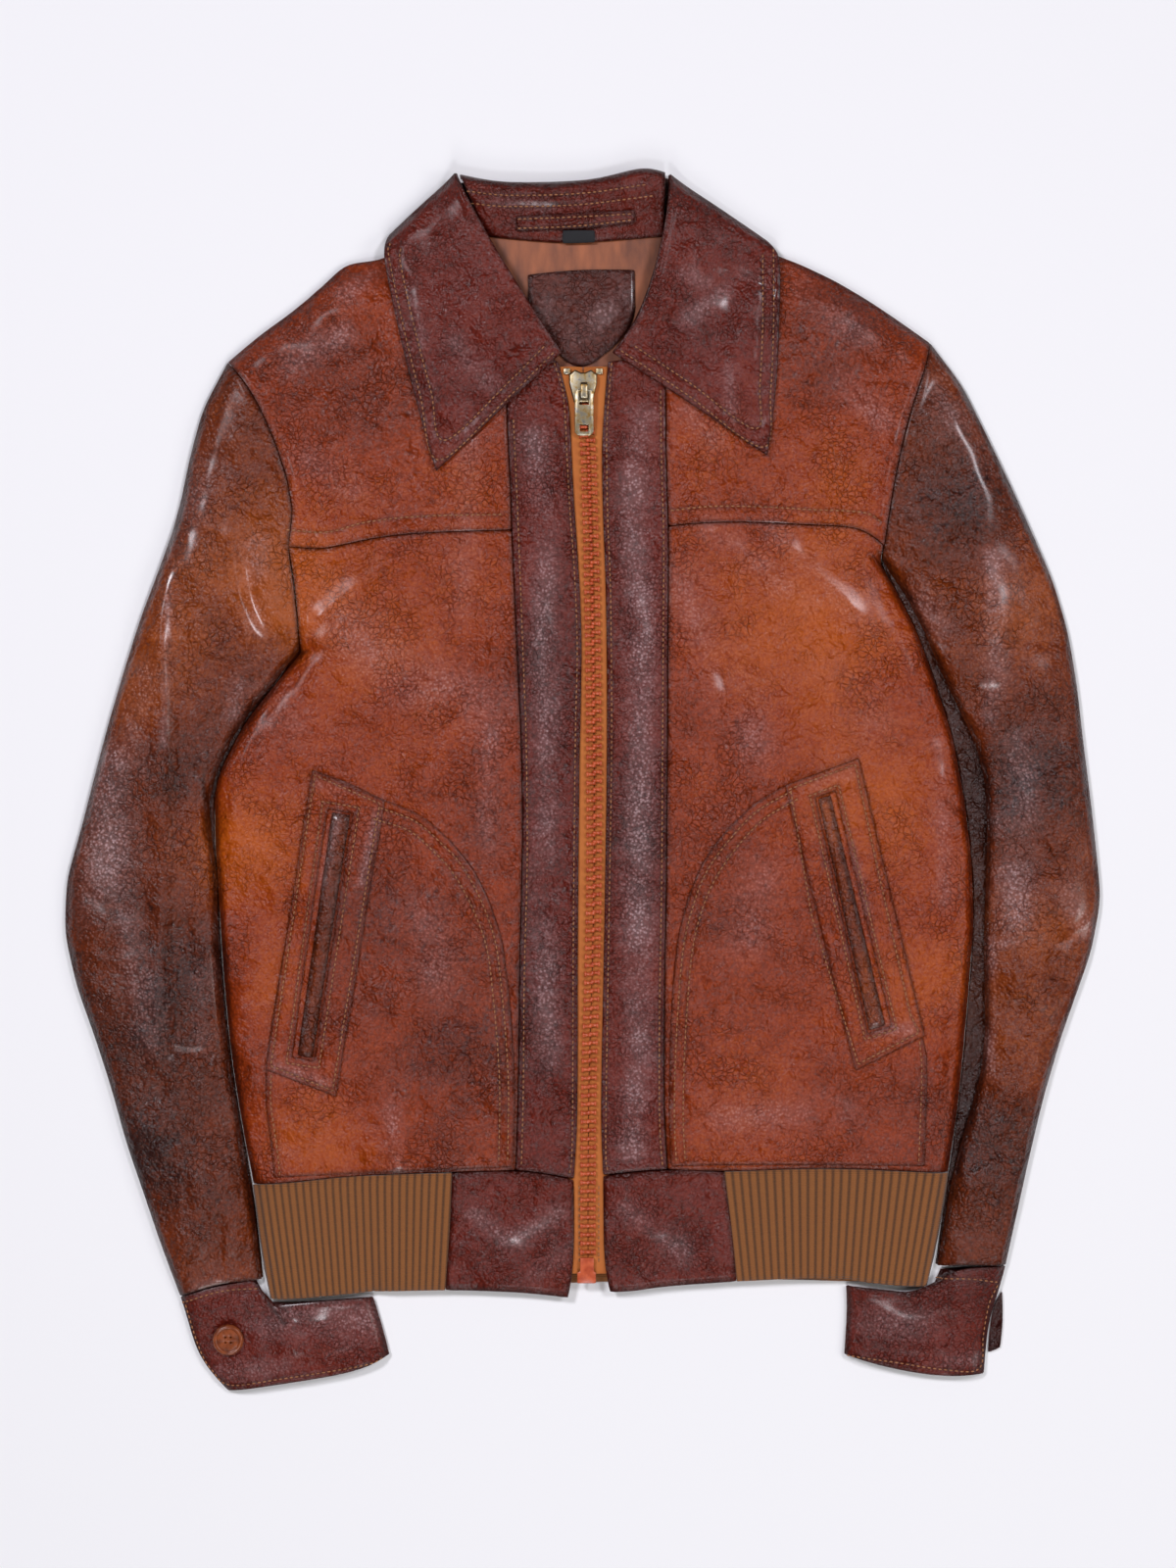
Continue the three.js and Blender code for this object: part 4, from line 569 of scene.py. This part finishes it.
def make_materials(colours):
    MATERIALS.update({
        "cognac": leather("cognac_cowhide", "#43140a", colours.cognac, "#ab4d08", 0.3),
        "oxblood": leather("oxblood_cowhide", "#2e0f0b", colours.oxblood, "#823620", 0.3, crackle=3.0),
        "brown": leather("brown_cowhide", "#2c100a", colours.brown, "#9c4a14", 0.28, crackle=4.5),
        "patch": leather("pebbled_patch", "#2a100c", "#552319", "#7d4030", 0.38, grain=2.6),
        "knit": knit_wool(colours.knit, "#4a2a10"),
        "satin": satin(colours.lining, "#6b3519"),
        "tape": woven("zip_tape_weave", colours.tape, "#a9561f", 0.5),
        "tag": woven("black_tag_weave", "#202024", "#0c0c0e", 0.4),
        "teeth": moulded("moulded_zip_teeth", colours.teeth, "#a03a1a", 0.3),
        "button": moulded("brown_button", "#8a4522", "#5a2813", 0.25),
        "thread": woven("bonded_thread", colours.thread, "#6b3c22", 0.3),
        "brass": old_brass(),
    })


# Meshes
WELD = 0.02 * MM
JOIN_ANGLE = math.radians(50)
SHARP = math.radians(48)
LONG_CELL = 21 * MM
EDGE_HOLD, CORNER_HOLD = 0.85, 0.9  # how far sharp edges and their corners resist the rounding
HIDDEN_PIECES = ("collar_fall", "cuff_flap_right")


def merged_copy(node):
    """A node's mesh with its loose triangles joined into quads."""
    mesh = frame["nodes"][node].data.copy()
    work = bmesh.new()
    work.from_mesh(mesh)
    bmesh.ops.remove_doubles(work, verts=work.verts, dist=WELD)
    bmesh.ops.join_triangles(work, faces=work.faces, angle_face_threshold=JOIN_ANGLE,
                             angle_shape_threshold=JOIN_ANGLE)
    return mesh, work


def plain_mesh(piece):
    """Turns a piece's modifiers into its mesh."""
    graph = bpy.context.evaluated_depsgraph_get()
    baked = bpy.data.meshes.new_from_object(piece.evaluated_get(graph))
    piece.modifiers.clear()
    old = piece.data
    piece.data = baked
    bpy.data.meshes.remove(old)


def placed(name, data):
    piece = bpy.data.objects.new(name, data)
    bpy.context.collection.objects.link(piece)
    return piece


def sharp_edges(work):
    return [e for e in work.edges if len(e.link_faces) == 2 and e.calc_face_angle() > SHARP]


def smooth(mesh):
    for face in mesh.polygons:
        face.use_smooth = True


def coat(mesh, material):
    """Gives a mesh one material, and smooth shading."""
    mesh.materials.clear()
    mesh.materials.append(MATERIALS[material])
    smooth(mesh)


def fine_cloth(node, levels):
    """A node's wall as a fine smooth mesh: long cells cut in two, rims kept crisp, the rest rounded."""
    mesh, work = merged_copy(node)
    if levels > 1:
        long_ones = [e for e in work.edges if e.calc_length() > LONG_CELL]
        bmesh.ops.subdivide_edges(work, edges=long_ones, cuts=1, use_grid_fill=True)
    crease = work.edges.layers.float.new("crease_edge")
    corner = work.verts.layers.float.new("crease_vert")
    for e in sharp_edges(work):
        e[crease] = EDGE_HOLD
    for v in work.verts:
        if sum(e[crease] > 0 for e in v.link_edges) > 2:
            v[corner] = CORNER_HOLD
    work.to_mesh(mesh)
    work.free()
    piece = placed(node + "_cloth", mesh)
    subdivision = piece.modifiers.new("rounding", "SUBSURF")
    subdivision.levels = subdivision.render_levels = levels
    plain_mesh(piece)
    return piece


def coordinates(mesh):
    out = np.empty(len(mesh.vertices) * 3)
    mesh.vertices.foreach_get("co", out)
    return out.reshape(-1, 3)


def set_coordinates(mesh, points):
    mesh.vertices.foreach_set("co", points.ravel())
    mesh.update()


def attribute(mesh, name, values):
    layer = mesh.attributes.new(name, "FLOAT", "POINT")
    layer.data.foreach_set("value", np.asarray(values, float))


def rim_distance(node, points):
    """How far each point is from its panel's edge, in plan."""
    mesh, work = merged_copy(node)
    rims = [[v.co.to_2d() for v in e.verts] for e in sharp_edges(work)]
    work.free()
    bpy.data.meshes.remove(mesh)
    best = np.full(len(points), 1.0)
    for a, b in rims:
        a, d = np.array(a), np.array(b) - np.array(a)
        best = np.minimum(best, from_segment(points, a, d, max(d @ d, 1e-12))[0])
    return best


STITCH_DIP, STITCH_WIDTH = 0.4, 1.4 * MM
PUCKER, PUCKER_WIDTH, PUCKER_PITCH = 0.1, 4 * MM, 8.5 * MM
STITCH_REACH = 10 * MM
# The turned-in allowance raises a soft welt inside each seam
WELT_RISE = 0.45 * MM
WELT_MIDDLE = 3.0 * MM
WELT_WIDTH = 1.8 * MM
# Painted shade: how much there is at a seam and at a stitch row, and how far it spreads
SEAM_SHADE, SEAM_SPREAD = 0.85, 1.5 * MM
ROW_SHADE, ROW_SPREAD, ROW_REACH = 0.6, 1.2 * MM, 4 * MM
# The height at which the creases start, how much further up they have their full depth, and where the
# upper side of the layer on the floor lies
HOLD_FROM, HOLD_RISE = 4 * MM, 6 * MM
FLOOR_LAYER_FACE = 1.5 * MM


def stitched(plan, lines):
    """The dip along each stitch row, and the small puckers beside it."""
    out = np.zeros(len(plan))
    for line in lines:
        near = beside(line, plan, STITCH_REACH)
        if not near.any():
            continue
        far, share = nearest_on(line, plan[near])
        length = np.linalg.norm(np.diff(line, axis=0), axis=1).sum()
        wobble = np.array([noise.noise(Vector((s * length * 90, length * 7, 0))) for s in share])
        wave = np.sin(2 * math.pi * share * length / PUCKER_PITCH + 2.5 * wobble)
        dip = STITCH_DIP * np.exp(-((far / STITCH_WIDTH) ** 2))
        pucker = PUCKER * wave * np.exp(-((far / PUCKER_WIDTH) ** 2))
        out[near] += (pucker - dip) * MM
    return out


def painted_shade_at(plan, rim, rows):
    """How much painted shade the cloth gets at its seams and along its stitch rows."""
    sewn = np.full(len(plan), 1.0)
    for row in rows:
        near = beside(row, plan, ROW_REACH)
        if near.any():
            sewn[near] = np.minimum(sewn[near], nearest_on(row, plan[near])[0])
    return np.maximum(SEAM_SHADE * np.exp(-((rim / SEAM_SPREAD) ** 2)),
                      ROW_SHADE * np.exp(-((sewn / ROW_SPREAD) ** 2)))


def dress_cloth(pieces, sizes):
    """Rounds, creases and colours pieces of leather, lining and tape, with painted shade and painted sheen;
    the hidden ones stay plain.
    """
    rows = [stitch_line(row) for rows in STITCH_ROWS.values() for row in rows]
    for node, (material, levels) in pieces.items():
        piece = fine_cloth(node, levels)
        mesh = piece.data
        points = coordinates(mesh)
        plan = points[:, :2]
        # the layers lying beneath and the hidden ones: painted shade over all their upper side, and no sheen
        # or creases
        if "under" in node or node.startswith("back_") or node in HIDDEN_PIECES:
            dirt, painted_sheen = np.where(points[:, 2] > FLOOR_LAYER_FACE, 1.0, 0.0), np.zeros(len(plan))
        else:
            rim = rim_distance(node, plan)
            dirt, painted_sheen = painted_shade_at(plan, rim, rows), painted_sheen_at(plan)
            hold = np.clip((points[:, 2] - HOLD_FROM) / HOLD_RISE, 0, 1)
            welt = WELT_RISE * np.exp(-(((rim - WELT_MIDDLE) / WELT_WIDTH) ** 2))
            lift = relief(plan, sizes.crease_strength) + stitched(plan, rows) + welt
            points[:, 2] += lift * hold
            set_coordinates(mesh, points)
        # the edge attribute carries the painted shade into the colour
        attribute(mesh, "edge", dirt)
        attribute(mesh, "tone", tone_at(plan))
        attribute(mesh, "painted_sheen", painted_sheen)
        coat(mesh, material)
        declare(piece, node)


LEAST_FILL = 0.31  # the least share of its rectangle that a sheet is said to fill
TURN_STEP = 3  # degrees


def cut_size(node):
    """The flat cut of a node: the least rectangle round its plan, and the area of its outer face."""
    mesh = frame["nodes"][node].data
    plan = coordinates(mesh)[:, :2]
    area = sum(p.area for p in mesh.polygons) / 2
    best = None
    for turn in np.radians(np.arange(0, 90, TURN_STEP)):
        turned = plan @ np.array([[math.cos(turn), -math.sin(turn)], [math.sin(turn), math.cos(turn)]])
        size = np.ptp(turned, axis=0)
        if best is None or size.prod() < best.prod():
            best = size
    wide, long = float(best.min()), float(best.max())
    return wide, long, max(min(area, wide * long), LEAST_FILL * wide * long)


def declare(piece, node):
    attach(piece, "pull" if node == "zip_pull" else "jacket")
    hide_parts(node)
    wide, long, area = cut_size(node)


RIBS = 27
BACK_RUNS = 3.4  # how many times as many ribs the back has
HEM_SPREAD = 0.4 * MM
BACK_HEM_SPREAD = 2.2 * MM
BACK_HEM_TOP, BACK_HEM_LENGTH = at(0, 1209)[1], 118 * STEP
BACK_TOP_SHARE = 0.25  # how much of its spread the back has at its top
BACK_HEM_MIDDLE = 0.1
# The side edges of each front run of knit, from top to foot
KNIT_EDGES = {"hem_knit_left": ([(257, 1209), (275, 1327)], [(461, 1196), (454, 1317)]),
              "hem_knit_right": ([(739, 1195), (752, 1308)], [(969, 1197), (947, 1314)])}


def dress_knit():
    """Gives the hem its ribs, and lets it spread to meet the leather beside it."""
    for node, (material, levels) in KNIT_PIECES.items():
        piece = fine_cloth(node, levels)
        mesh = piece.data
        points = coordinates(mesh)
        x, y = points[:, 0].copy(), points[:, 1]
        if node in KNIT_EDGES:
            sides = [line_of(side)[::-1] for side in KNIT_EDGES[node]]
            left, right = [np.interp(y, side[:, 1], side[:, 0]) for side in sides]
            share = (x - left) / (right - left)
            points[:, 0] += HEM_SPREAD * (2 * np.clip(share, 0, 1) - 1)
        else:
            # the back of the hem stands out a little further towards its foot, up to the cuffs
            share = (x - x.min()) / (x.max() - x.min()) * BACK_RUNS
            down = np.clip((BACK_HEM_TOP - y) / BACK_HEM_LENGTH, 0, 1)
            out = BACK_HEM_SPREAD * (BACK_TOP_SHARE + (1 - BACK_TOP_SHARE) * down)
            points[:, 0] += np.where(x < 0, -1, 1) * out * (np.abs(x) > BACK_HEM_MIDDLE)
        set_coordinates(mesh, points)
        # the rib share paints light on the cords and shade in the valleys
        rib = 0.5 - 0.5 * np.cos(2 * math.pi * share * RIBS)
        attribute(mesh, "rib", np.clip(rib, 0, 1))
        coat(mesh, material)
        declare(piece, node)


# Repeats made with Geometry Nodes
def node_group(name, *inputs):
    """A geometry tree with named inputs, its input node and its output node."""
    tree = bpy.data.node_groups.new(name, "GeometryNodeTree")
    tree.interface.new_socket("Geometry", in_out="INPUT", socket_type="NodeSocketGeometry")
    for label, kind, value in inputs:
        socket = tree.interface.new_socket(label, in_out="INPUT", socket_type=kind)
        socket.default_value = value
    tree.interface.new_socket("Geometry", in_out="OUTPUT", socket_type="NodeSocketGeometry")
    return tree, tree.nodes.new("NodeGroupInput"), tree.nodes.new("NodeGroupOutput")


def run_group(name, mesh, tree, values, material):
    """Runs a node tree on a mesh of paths, and keeps the result as a plain mesh."""
    piece = placed(name, mesh)
    modifier = piece.modifiers.new(name, "NODES")
    modifier.node_group = tree
    for item in tree.interface.items_tree:
        if item.in_out == "INPUT" and item.name in values:
            modifier[item.identifier] = values[item.name]
    plain_mesh(piece)
    if not piece.data.materials:
        piece.data.materials.append(material)
    smooth(piece.data)
    return piece


def points_along(tree, given, pitch):
    """Points on the given paths, one for each pitch."""
    curve = add_node(tree, "GeometryNodeMeshToCurve", {0: given.outputs["Geometry"]})
    return add_node(tree, "GeometryNodeCurveToPoints", {0: curve.outputs[0], "Length": given.outputs[pitch]},
                    {"mode": "LENGTH"})


def realized(tree, links, material, out):
    """Ends a tree: instances on points, made real, with their material."""
    laid = add_node(tree, "GeometryNodeInstanceOnPoints", links)
    real = add_node(tree, "GeometryNodeRealizeInstances", {0: laid.outputs[0]})
    done = add_node(tree, "GeometryNodeSetMaterial", {0: real.outputs[0]}, Material=material)
    tree.links.new(done.outputs[0], out.inputs[0])
    return tree


# A stitch's length and depth, as shares of the pitch and of the thread's width
STITCH_LENGTH, STITCH_DEPTH = 0.78, 0.8


def stitch_tree(material):
    """Stitches along paths: small rounded grains of thread, one for each stitch length."""
    tree, given, out = node_group("stitches", ("Stitch pitch", "NodeSocketFloat", 0.0032),
                                  ("Thread width", "NodeSocketFloat", 0.0007))
    points = points_along(tree, given, "Stitch pitch")
    grain = add_node(tree, "GeometryNodeMeshIcoSphere", Radius=0.5, Subdivisions=1)
    width = given.outputs["Thread width"]
    size = add_node(tree, "ShaderNodeCombineXYZ", {
        "X": width, "Y": math_of(tree, "MULTIPLY", width, STITCH_DEPTH),
        "Z": math_of(tree, "MULTIPLY", given.outputs["Stitch pitch"], STITCH_LENGTH)})
    shaped = add_node(tree, "GeometryNodeTransform", {0: grain.outputs[0], "Scale": size.outputs[0]})
    return realized(tree, {0: points.outputs[0], "Instance": shaped.outputs[0],
                           "Rotation": points.outputs["Rotation"]}, material, out)


def top_surface():
    """Everything made so far, for finding the height of the cloth under a plan point."""
    points, faces = [], []
    for piece in bpy.context.collection.objects:
        if piece.type == "MESH" and piece.name.endswith("_cloth"):
            start = len(points)
            points += [v.co.copy() for v in piece.data.vertices]
            faces += [[start + i for i in f.vertices] for f in piece.data.polygons]
    return BVHTree.FromPolygons(points, faces)


ABOVE = 0.1
PATH_STEP = 2.5 * MM
THREAD_LIFT = 0.3 * MM
TEETH_SINK = 1 * MM


def path_mesh(name, lines, surface, lift):
    """Plan lines laid on a surface, as edges."""
    points, edges = [], []
    for line in lines:
        start = None
        for a, b in zip(line[:-1], line[1:]):
            count = max(1, round(float(np.linalg.norm(b - a)) / PATH_STEP))
            for k in range(count):
                x, y = a + (b - a) * k / count
                hit = surface.ray_cast(Vector((x, y, ABOVE)), Vector((0, 0, -1)))[0]
                if hit is None:
                    start = None
                    continue
                points.append((x, y, hit.z + lift))
                if start is not None:
                    edges.append((start, len(points) - 1))
                start = len(points) - 1
    mesh = bpy.data.meshes.new(name)
    mesh.from_pydata(points, edges, [])
    return mesh


def sew(sizes):
    """Lays thread along every stitch row, one piece for each part of the jacket."""
    surface = top_surface()
    tree = stitch_tree(MATERIALS["thread"])
    values = {"Stitch pitch": sizes.stitch_pitch, "Thread width": sizes.thread_width}
    for name, rows in STITCH_ROWS.items():
        lines = [stitch_line(row) for row in rows]
        paths = path_mesh(name + "_rows", lines, surface, THREAD_LIFT)
        piece = run_group(name + "_stitches", paths, tree, values, MATERIALS["thread"])
        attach(piece, "jacket")


# The line where the two rows of zip teeth meet
CHAIN = [(595, 414), (600, 460), (604, 600), (606, 760), (606, 900), (604, 1000), (601, 1100), (600, 1200),
         (600, 1281)]
# The parts of a zip tooth: what it is made from, its size, how far it lies out from the middle, and its scale
TOOTH_PARTS = (
    ("GeometryNodeMeshCube", {"Size": (0.0042, 0.0019, 0.0024)}, 0.0026, (1, 1, 1)),
    ("GeometryNodeMeshUVSphere", {"Segments": 10, "Rings": 6, "Radius": 0.0015}, 0.0003, (1.0, 0.85, 0.95)),
    ("GeometryNodeMeshCube", {"Size": (0.0014, 0.0032, 0.0026)}, 0.0041, (1, 1, 1)),
)


def teeth_tree(material):
    """Zip teeth beside a path: a shank, a rounded head and a foot for each pitch, on one side of it."""
    tree, given, out = node_group("teeth", ("Pitch", "NodeSocketFloat", 0.0053),
                                  ("Side", "NodeSocketFloat", 1.0))
    points = points_along(tree, given, "Pitch")
    tooth = tree.nodes.new("GeometryNodeJoinGeometry")
    for kind, size, reach, scale in TOOTH_PARTS:
        part = add_node(tree, kind, **size)
        moved = add_node(tree, "GeometryNodeTransform", {0: part.outputs[0]}, Translation=(reach, 0, 0),
                         Scale=scale)
        tree.links.new(moved.outputs[0], tooth.inputs[0])
    facing = add_node(tree, "ShaderNodeCombineXYZ", {"X": given.outputs["Side"]}, Y=1.0, Z=1.0)
    return realized(tree, {0: points.outputs[0], "Instance": tooth.outputs[0], "Scale": facing.outputs[0]},
                    material, out)


def zip_teeth(sizes):
    """Both rows of teeth, half a pitch apart, in the place of the frame's chain."""
    chain = frame["nodes"]["zip_chain"].data
    surface = BVHTree.FromPolygons([v.co for v in chain.vertices], [list(p.vertices) for p in chain.polygons])
    tree = teeth_tree(MATERIALS["teeth"])
    centre = smooth_line(CHAIN, 80)
    pitch = sizes.tooth_pitch
    steps = np.concatenate([[0], np.cumsum(np.linalg.norm(np.diff(centre, axis=0), axis=1))])
    rows = []
    for side, start in ((1.0, 0.0), (-1.0, pitch / 2)):
        along = np.arange(start, steps[-1], pitch / 4)
        line = np.stack([np.interp(along, steps, centre[:, k]) for k in (0, 1)], axis=1)
        paths = path_mesh("tooth_path", [line], surface, -TEETH_SINK)
        values = {"Pitch": pitch, "Side": side}
        rows.append(run_group("zip_teeth_row", paths, tree, values, MATERIALS["teeth"]))
    work = bmesh.new()
    for row in rows:
        work.from_mesh(row.data)
    bmesh.ops.recalc_face_normals(work, faces=work.faces)
    piece = rows[0]
    work.to_mesh(piece.data)
    work.free()
    bpy.data.objects.remove(rows[1])
    piece.name = "zip_teeth"
    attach(piece, "jacket")
    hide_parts("zip_chain")


# The zip's hard parts, with the width of their rounded edges
ZIP_PARTS = (
    ("zip_slider", "brass", 0.7 * MM), ("zip_bail", "brass", 0.5 * MM), ("zip_pull", "brass", 0.4 * MM),
    ("zip_stop_left", "brass", 0.4 * MM), ("zip_stop_right", "brass", 0.4 * MM),
    ("zip_box", "teeth", 0.5 * MM),
)


def bevelled(node, material, width, segments=3):
    """A hard piece with its edges rounded over."""
    mesh, work = merged_copy(node)
    bmesh.ops.dissolve_limit(work, angle_limit=math.radians(1), verts=work.verts, edges=work.edges)
    work.to_mesh(mesh)
    work.free()
    piece = placed(node + "_finished", mesh)
    edge = piece.modifiers.new("rounded edges", "BEVEL")
    edge.width = width
    edge.segments = segments
    edge.limit_method = "ANGLE"
    plain_mesh(piece)
    coat(piece.data, material)
    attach(piece, "pull" if node == "zip_pull" else "jacket")
    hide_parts(node)


BUTTON_RIM, BUTTON_ROLL = 7.8 * MM, 1.2 * MM


def ring(name, centre, radius, thick, material):
    """A flattened ring that lies on a hard piece."""
    mesh = bpy.data.meshes.new(name)
    work = bmesh.new()
    turns, sides, squash = 48, 10, 0.6
    rows = [[work.verts.new((centre[0] + (radius + thick * math.cos(b)) * math.cos(a),
                             centre[1] + (radius + thick * math.cos(b)) * math.sin(a),
                             centre[2] + squash * thick * math.sin(b)))
             for b in (2 * math.pi * k / sides for k in range(sides))]
            for a in (2 * math.pi * k / turns for k in range(turns))]
    for i in range(turns):
        for k in range(sides):
            j, m = (i + 1) % turns, (k + 1) % sides
            work.faces.new((rows[i][k], rows[j][k], rows[j][m], rows[i][m])).smooth = True
    work.to_mesh(mesh)
    work.free()
    mesh.materials.append(MATERIALS[material])
    piece = placed(name, mesh)
    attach(piece, "jacket")


class JacketSizes(bpy.types.PropertyGroup):
    crease_strength: bpy.props.FloatProperty(
        name="Crease strength", description="How deep the creases are", default=1.0, min=0, max=2)
    stitch_pitch: bpy.props.FloatProperty(
        name="Stitch pitch", description="From one stitch to the next", default=0.0033, unit="LENGTH")
    thread_width: bpy.props.FloatProperty(
        name="Thread width", description="Thickness of the sewing thread", default=0.001, unit="LENGTH")
    tooth_pitch: bpy.props.FloatProperty(
        name="Tooth pitch", description="From one tooth to the next in a row", default=0.0053, unit="LENGTH")


class JacketColours(bpy.types.PropertyGroup):
    cognac: bpy.props.StringProperty(
        name="Body leather", default="#862f07", description="sRGB hex of the fronts")
    oxblood: bpy.props.StringProperty(
        name="Dark leather", default="#64190a", description="sRGB hex of collar and plackets")
    brown: bpy.props.StringProperty(
        name="Sleeve leather", default="#682707", description="sRGB hex of the sleeves")
    knit: bpy.props.StringProperty(
        name="Knit", default="#855022", description="sRGB hex of the ribs")
    lining: bpy.props.StringProperty(
        name="Lining", default="#a0582f", description="sRGB hex of the satin")
    tape: bpy.props.StringProperty(
        name="Zip tape", default="#bb6c2c", description="sRGB hex of the tape")
    teeth: bpy.props.StringProperty(
        name="Zip teeth", default="#c65b34", description="sRGB hex of the teeth")
    thread: bpy.props.StringProperty(
        name="Thread", default="#b07850", description="sRGB hex of the sewing")


class JACKET_OT_body(bpy.types.Operator):
    """Makes the leather of the fronts, yokes, plackets, pockets and back"""
    bl_idname = "jacket.body"
    bl_label = "Body leather"

    def execute(self, context):
        dress_cloth(BODY_PIECES, context.scene.jacket_sizes)
        return {"FINISHED"}


class JACKET_OT_sleeves(bpy.types.Operator):
    """Makes the sleeves and cuffs"""
    bl_idname = "jacket.sleeves"
    bl_label = "Sleeves and cuffs"

    def execute(self, context):
        dress_cloth(SLEEVE_PIECES, context.scene.jacket_sizes)
        return {"FINISHED"}


class JACKET_OT_collar(bpy.types.Operator):
    """Makes the collar, its stand and what is sewn inside the neck"""
    bl_idname = "jacket.collar"
    bl_label = "Collar and neck"

    def execute(self, context):
        dress_cloth(COLLAR_PIECES, context.scene.jacket_sizes)
        return {"FINISHED"}


class JACKET_OT_knit(bpy.types.Operator):
    """Makes the ribbed hem"""
    bl_idname = "jacket.knit"
    bl_label = "Knitted hem"

    def execute(self, context):
        dress_knit()
        return {"FINISHED"}


class JACKET_OT_trim(bpy.types.Operator):
    """Makes the lining, size tag and zip tapes"""
    bl_idname = "jacket.trim"
    bl_label = "Lining, tag and tapes"

    def execute(self, context):
        dress_cloth(SOFT_TRIM, context.scene.jacket_sizes)
        return {"FINISHED"}


class JACKET_OT_zip(bpy.types.Operator):
    """Makes the zip's teeth and its metal"""
    bl_idname = "jacket.zip"
    bl_label = "Zip"

    def execute(self, context):
        zip_teeth(context.scene.jacket_sizes)
        for node, material, width in ZIP_PARTS:
            bevelled(node, material, width)
        return {"FINISHED"}


class JACKET_OT_button(bpy.types.Operator):
    """Makes the cuff button with its raised rim"""
    bl_idname = "jacket.button"
    bl_label = "Cuff button"

    def execute(self, context):
        low, high = (Vector(c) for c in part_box("cuff_button"))
        bevelled("cuff_button", "button", 0.3 * MM, 2)
        centre = (low + high) / 2
        ring("button_rim", (centre.x, centre.y, high.z), BUTTON_RIM, BUTTON_ROLL, "button")
        return {"FINISHED"}


class JACKET_OT_sewing(bpy.types.Operator):
    """Sews every visible row of stitches"""
    bl_idname = "jacket.sewing"
    bl_label = "Stitching"

    def execute(self, context):
        sew(context.scene.jacket_sizes)
        return {"FINISHED"}


CAMERA_HEIGHT = 2.6
VIEW_HEIGHT = 1600 * STEP
MID_HEIGHT = 10 * MM
SENSOR = 36
FLOOR_CORNERS, FLOOR_DROP = ((-4, -4), (4, -4), (4, 4), (-4, 4)), 0.4 * MM
# Square lights that face the middle of the floor: name, place, size, watts and colour
LIGHTS = (
    ("gloss key", (-1.2, 1.0, 2.7), 0.5, 44, (0.95, 0.93, 1.0)),
    ("gloss right", (1.25, 0.8, 2.7), 0.5, 27, (0.95, 0.93, 1.0)),
    ("gloss low", (0.1, -1.5, 2.6), 0.5, 18, (0.95, 0.95, 1.0)),
    ("right softbox", (2.6, -0.4, 2.4), 1.1, 20, (1.0, 0.99, 0.97)),
    ("low softbox", (0.0, -2.9, 2.4), 1.1, 22, (1.0, 0.99, 0.97)),
)


class JACKET_OT_stage(bpy.types.Operator):
    """Sets up the floor, the studio light and the camera"""
    bl_idname = "jacket.stage"
    bl_label = "Studio"

    def execute(self, context):
        scene = context.scene
        floor_mesh = bpy.data.meshes.new("floor")
        corners = [(x, y, -FLOOR_DROP) for x, y in FLOOR_CORNERS]
        floor_mesh.from_pydata(corners, [], [(0, 1, 2, 3)])
        floor = placed("floor", floor_mesh)
        paper = surfaced(blank("pale_floor")[0], {}, Base_Color=linear("#f1f1f2"), Roughness=0.9)
        floor_mesh.materials.append(paper)
        for name, place, size, power, colour in LIGHTS:
            light = bpy.data.lights.new(name, "AREA")
            light.shape = "SQUARE"
            light.size = size
            light.energy = power
            light.color = colour
            lamp = placed(name, light)
            lamp.location = place
            lamp.rotation_euler = (-Vector(place)).to_track_quat("-Z", "Y").to_euler()
        world = bpy.data.worlds.new("studio")
        world.use_nodes = True
        sky = world.node_tree.nodes["Background"].inputs
        sky["Color"].default_value = (0.95, 0.96, 1.0, 1)
        sky["Strength"].default_value = 0.07
        scene.world = world
        scene.view_settings.view_transform = "Standard"
        camera_data = bpy.data.cameras.new("camera")
        camera_data.sensor_width = SENSOR
        camera_data.lens = SENSOR * CAMERA_HEIGHT / VIEW_HEIGHT
        camera = placed("camera", camera_data)
        camera.location = (*at(600, 800), CAMERA_HEIGHT + MID_HEIGHT)
        scene.camera = camera
        return {"FINISHED"}


STEPS = (JACKET_OT_stage, JACKET_OT_body, JACKET_OT_sleeves, JACKET_OT_collar, JACKET_OT_knit, JACKET_OT_trim,
         JACKET_OT_zip, JACKET_OT_button, JACKET_OT_sewing)


class JACKET_PT_panel(bpy.types.Panel):
    """Lists the jacket's sizes, colours and steps"""
    bl_idname = "JACKET_PT_panel"
    bl_label = "Worn leather blouson"
    bl_space_type = "VIEW_3D"
    bl_region_type = "UI"
    bl_category = "Blouson"

    def draw(self, context):
        for group in (context.scene.jacket_sizes, context.scene.jacket_colours):
            for name in group.__annotations__:
                self.layout.prop(group, name)
        for step in STEPS:
            self.layout.operator(step.bl_idname)


CLASSES = (JacketSizes, JacketColours, *STEPS, JACKET_PT_panel)


def register():
    for item in CLASSES:
        bpy.utils.register_class(item)
    bpy.types.Scene.jacket_sizes = bpy.props.PointerProperty(type=JacketSizes)
    bpy.types.Scene.jacket_colours = bpy.props.PointerProperty(type=JacketColours)


def unregister():
    del bpy.types.Scene.jacket_sizes
    del bpy.types.Scene.jacket_colours
    for item in reversed(CLASSES):
        bpy.utils.unregister_class(item)


def main():
    register()
    make_materials(bpy.context.scene.jacket_colours)
    for step in STEPS:
        group, name = step.bl_idname.split(".")
        getattr(getattr(bpy.ops, group), name)()


if __name__ == "__main__":
    main()
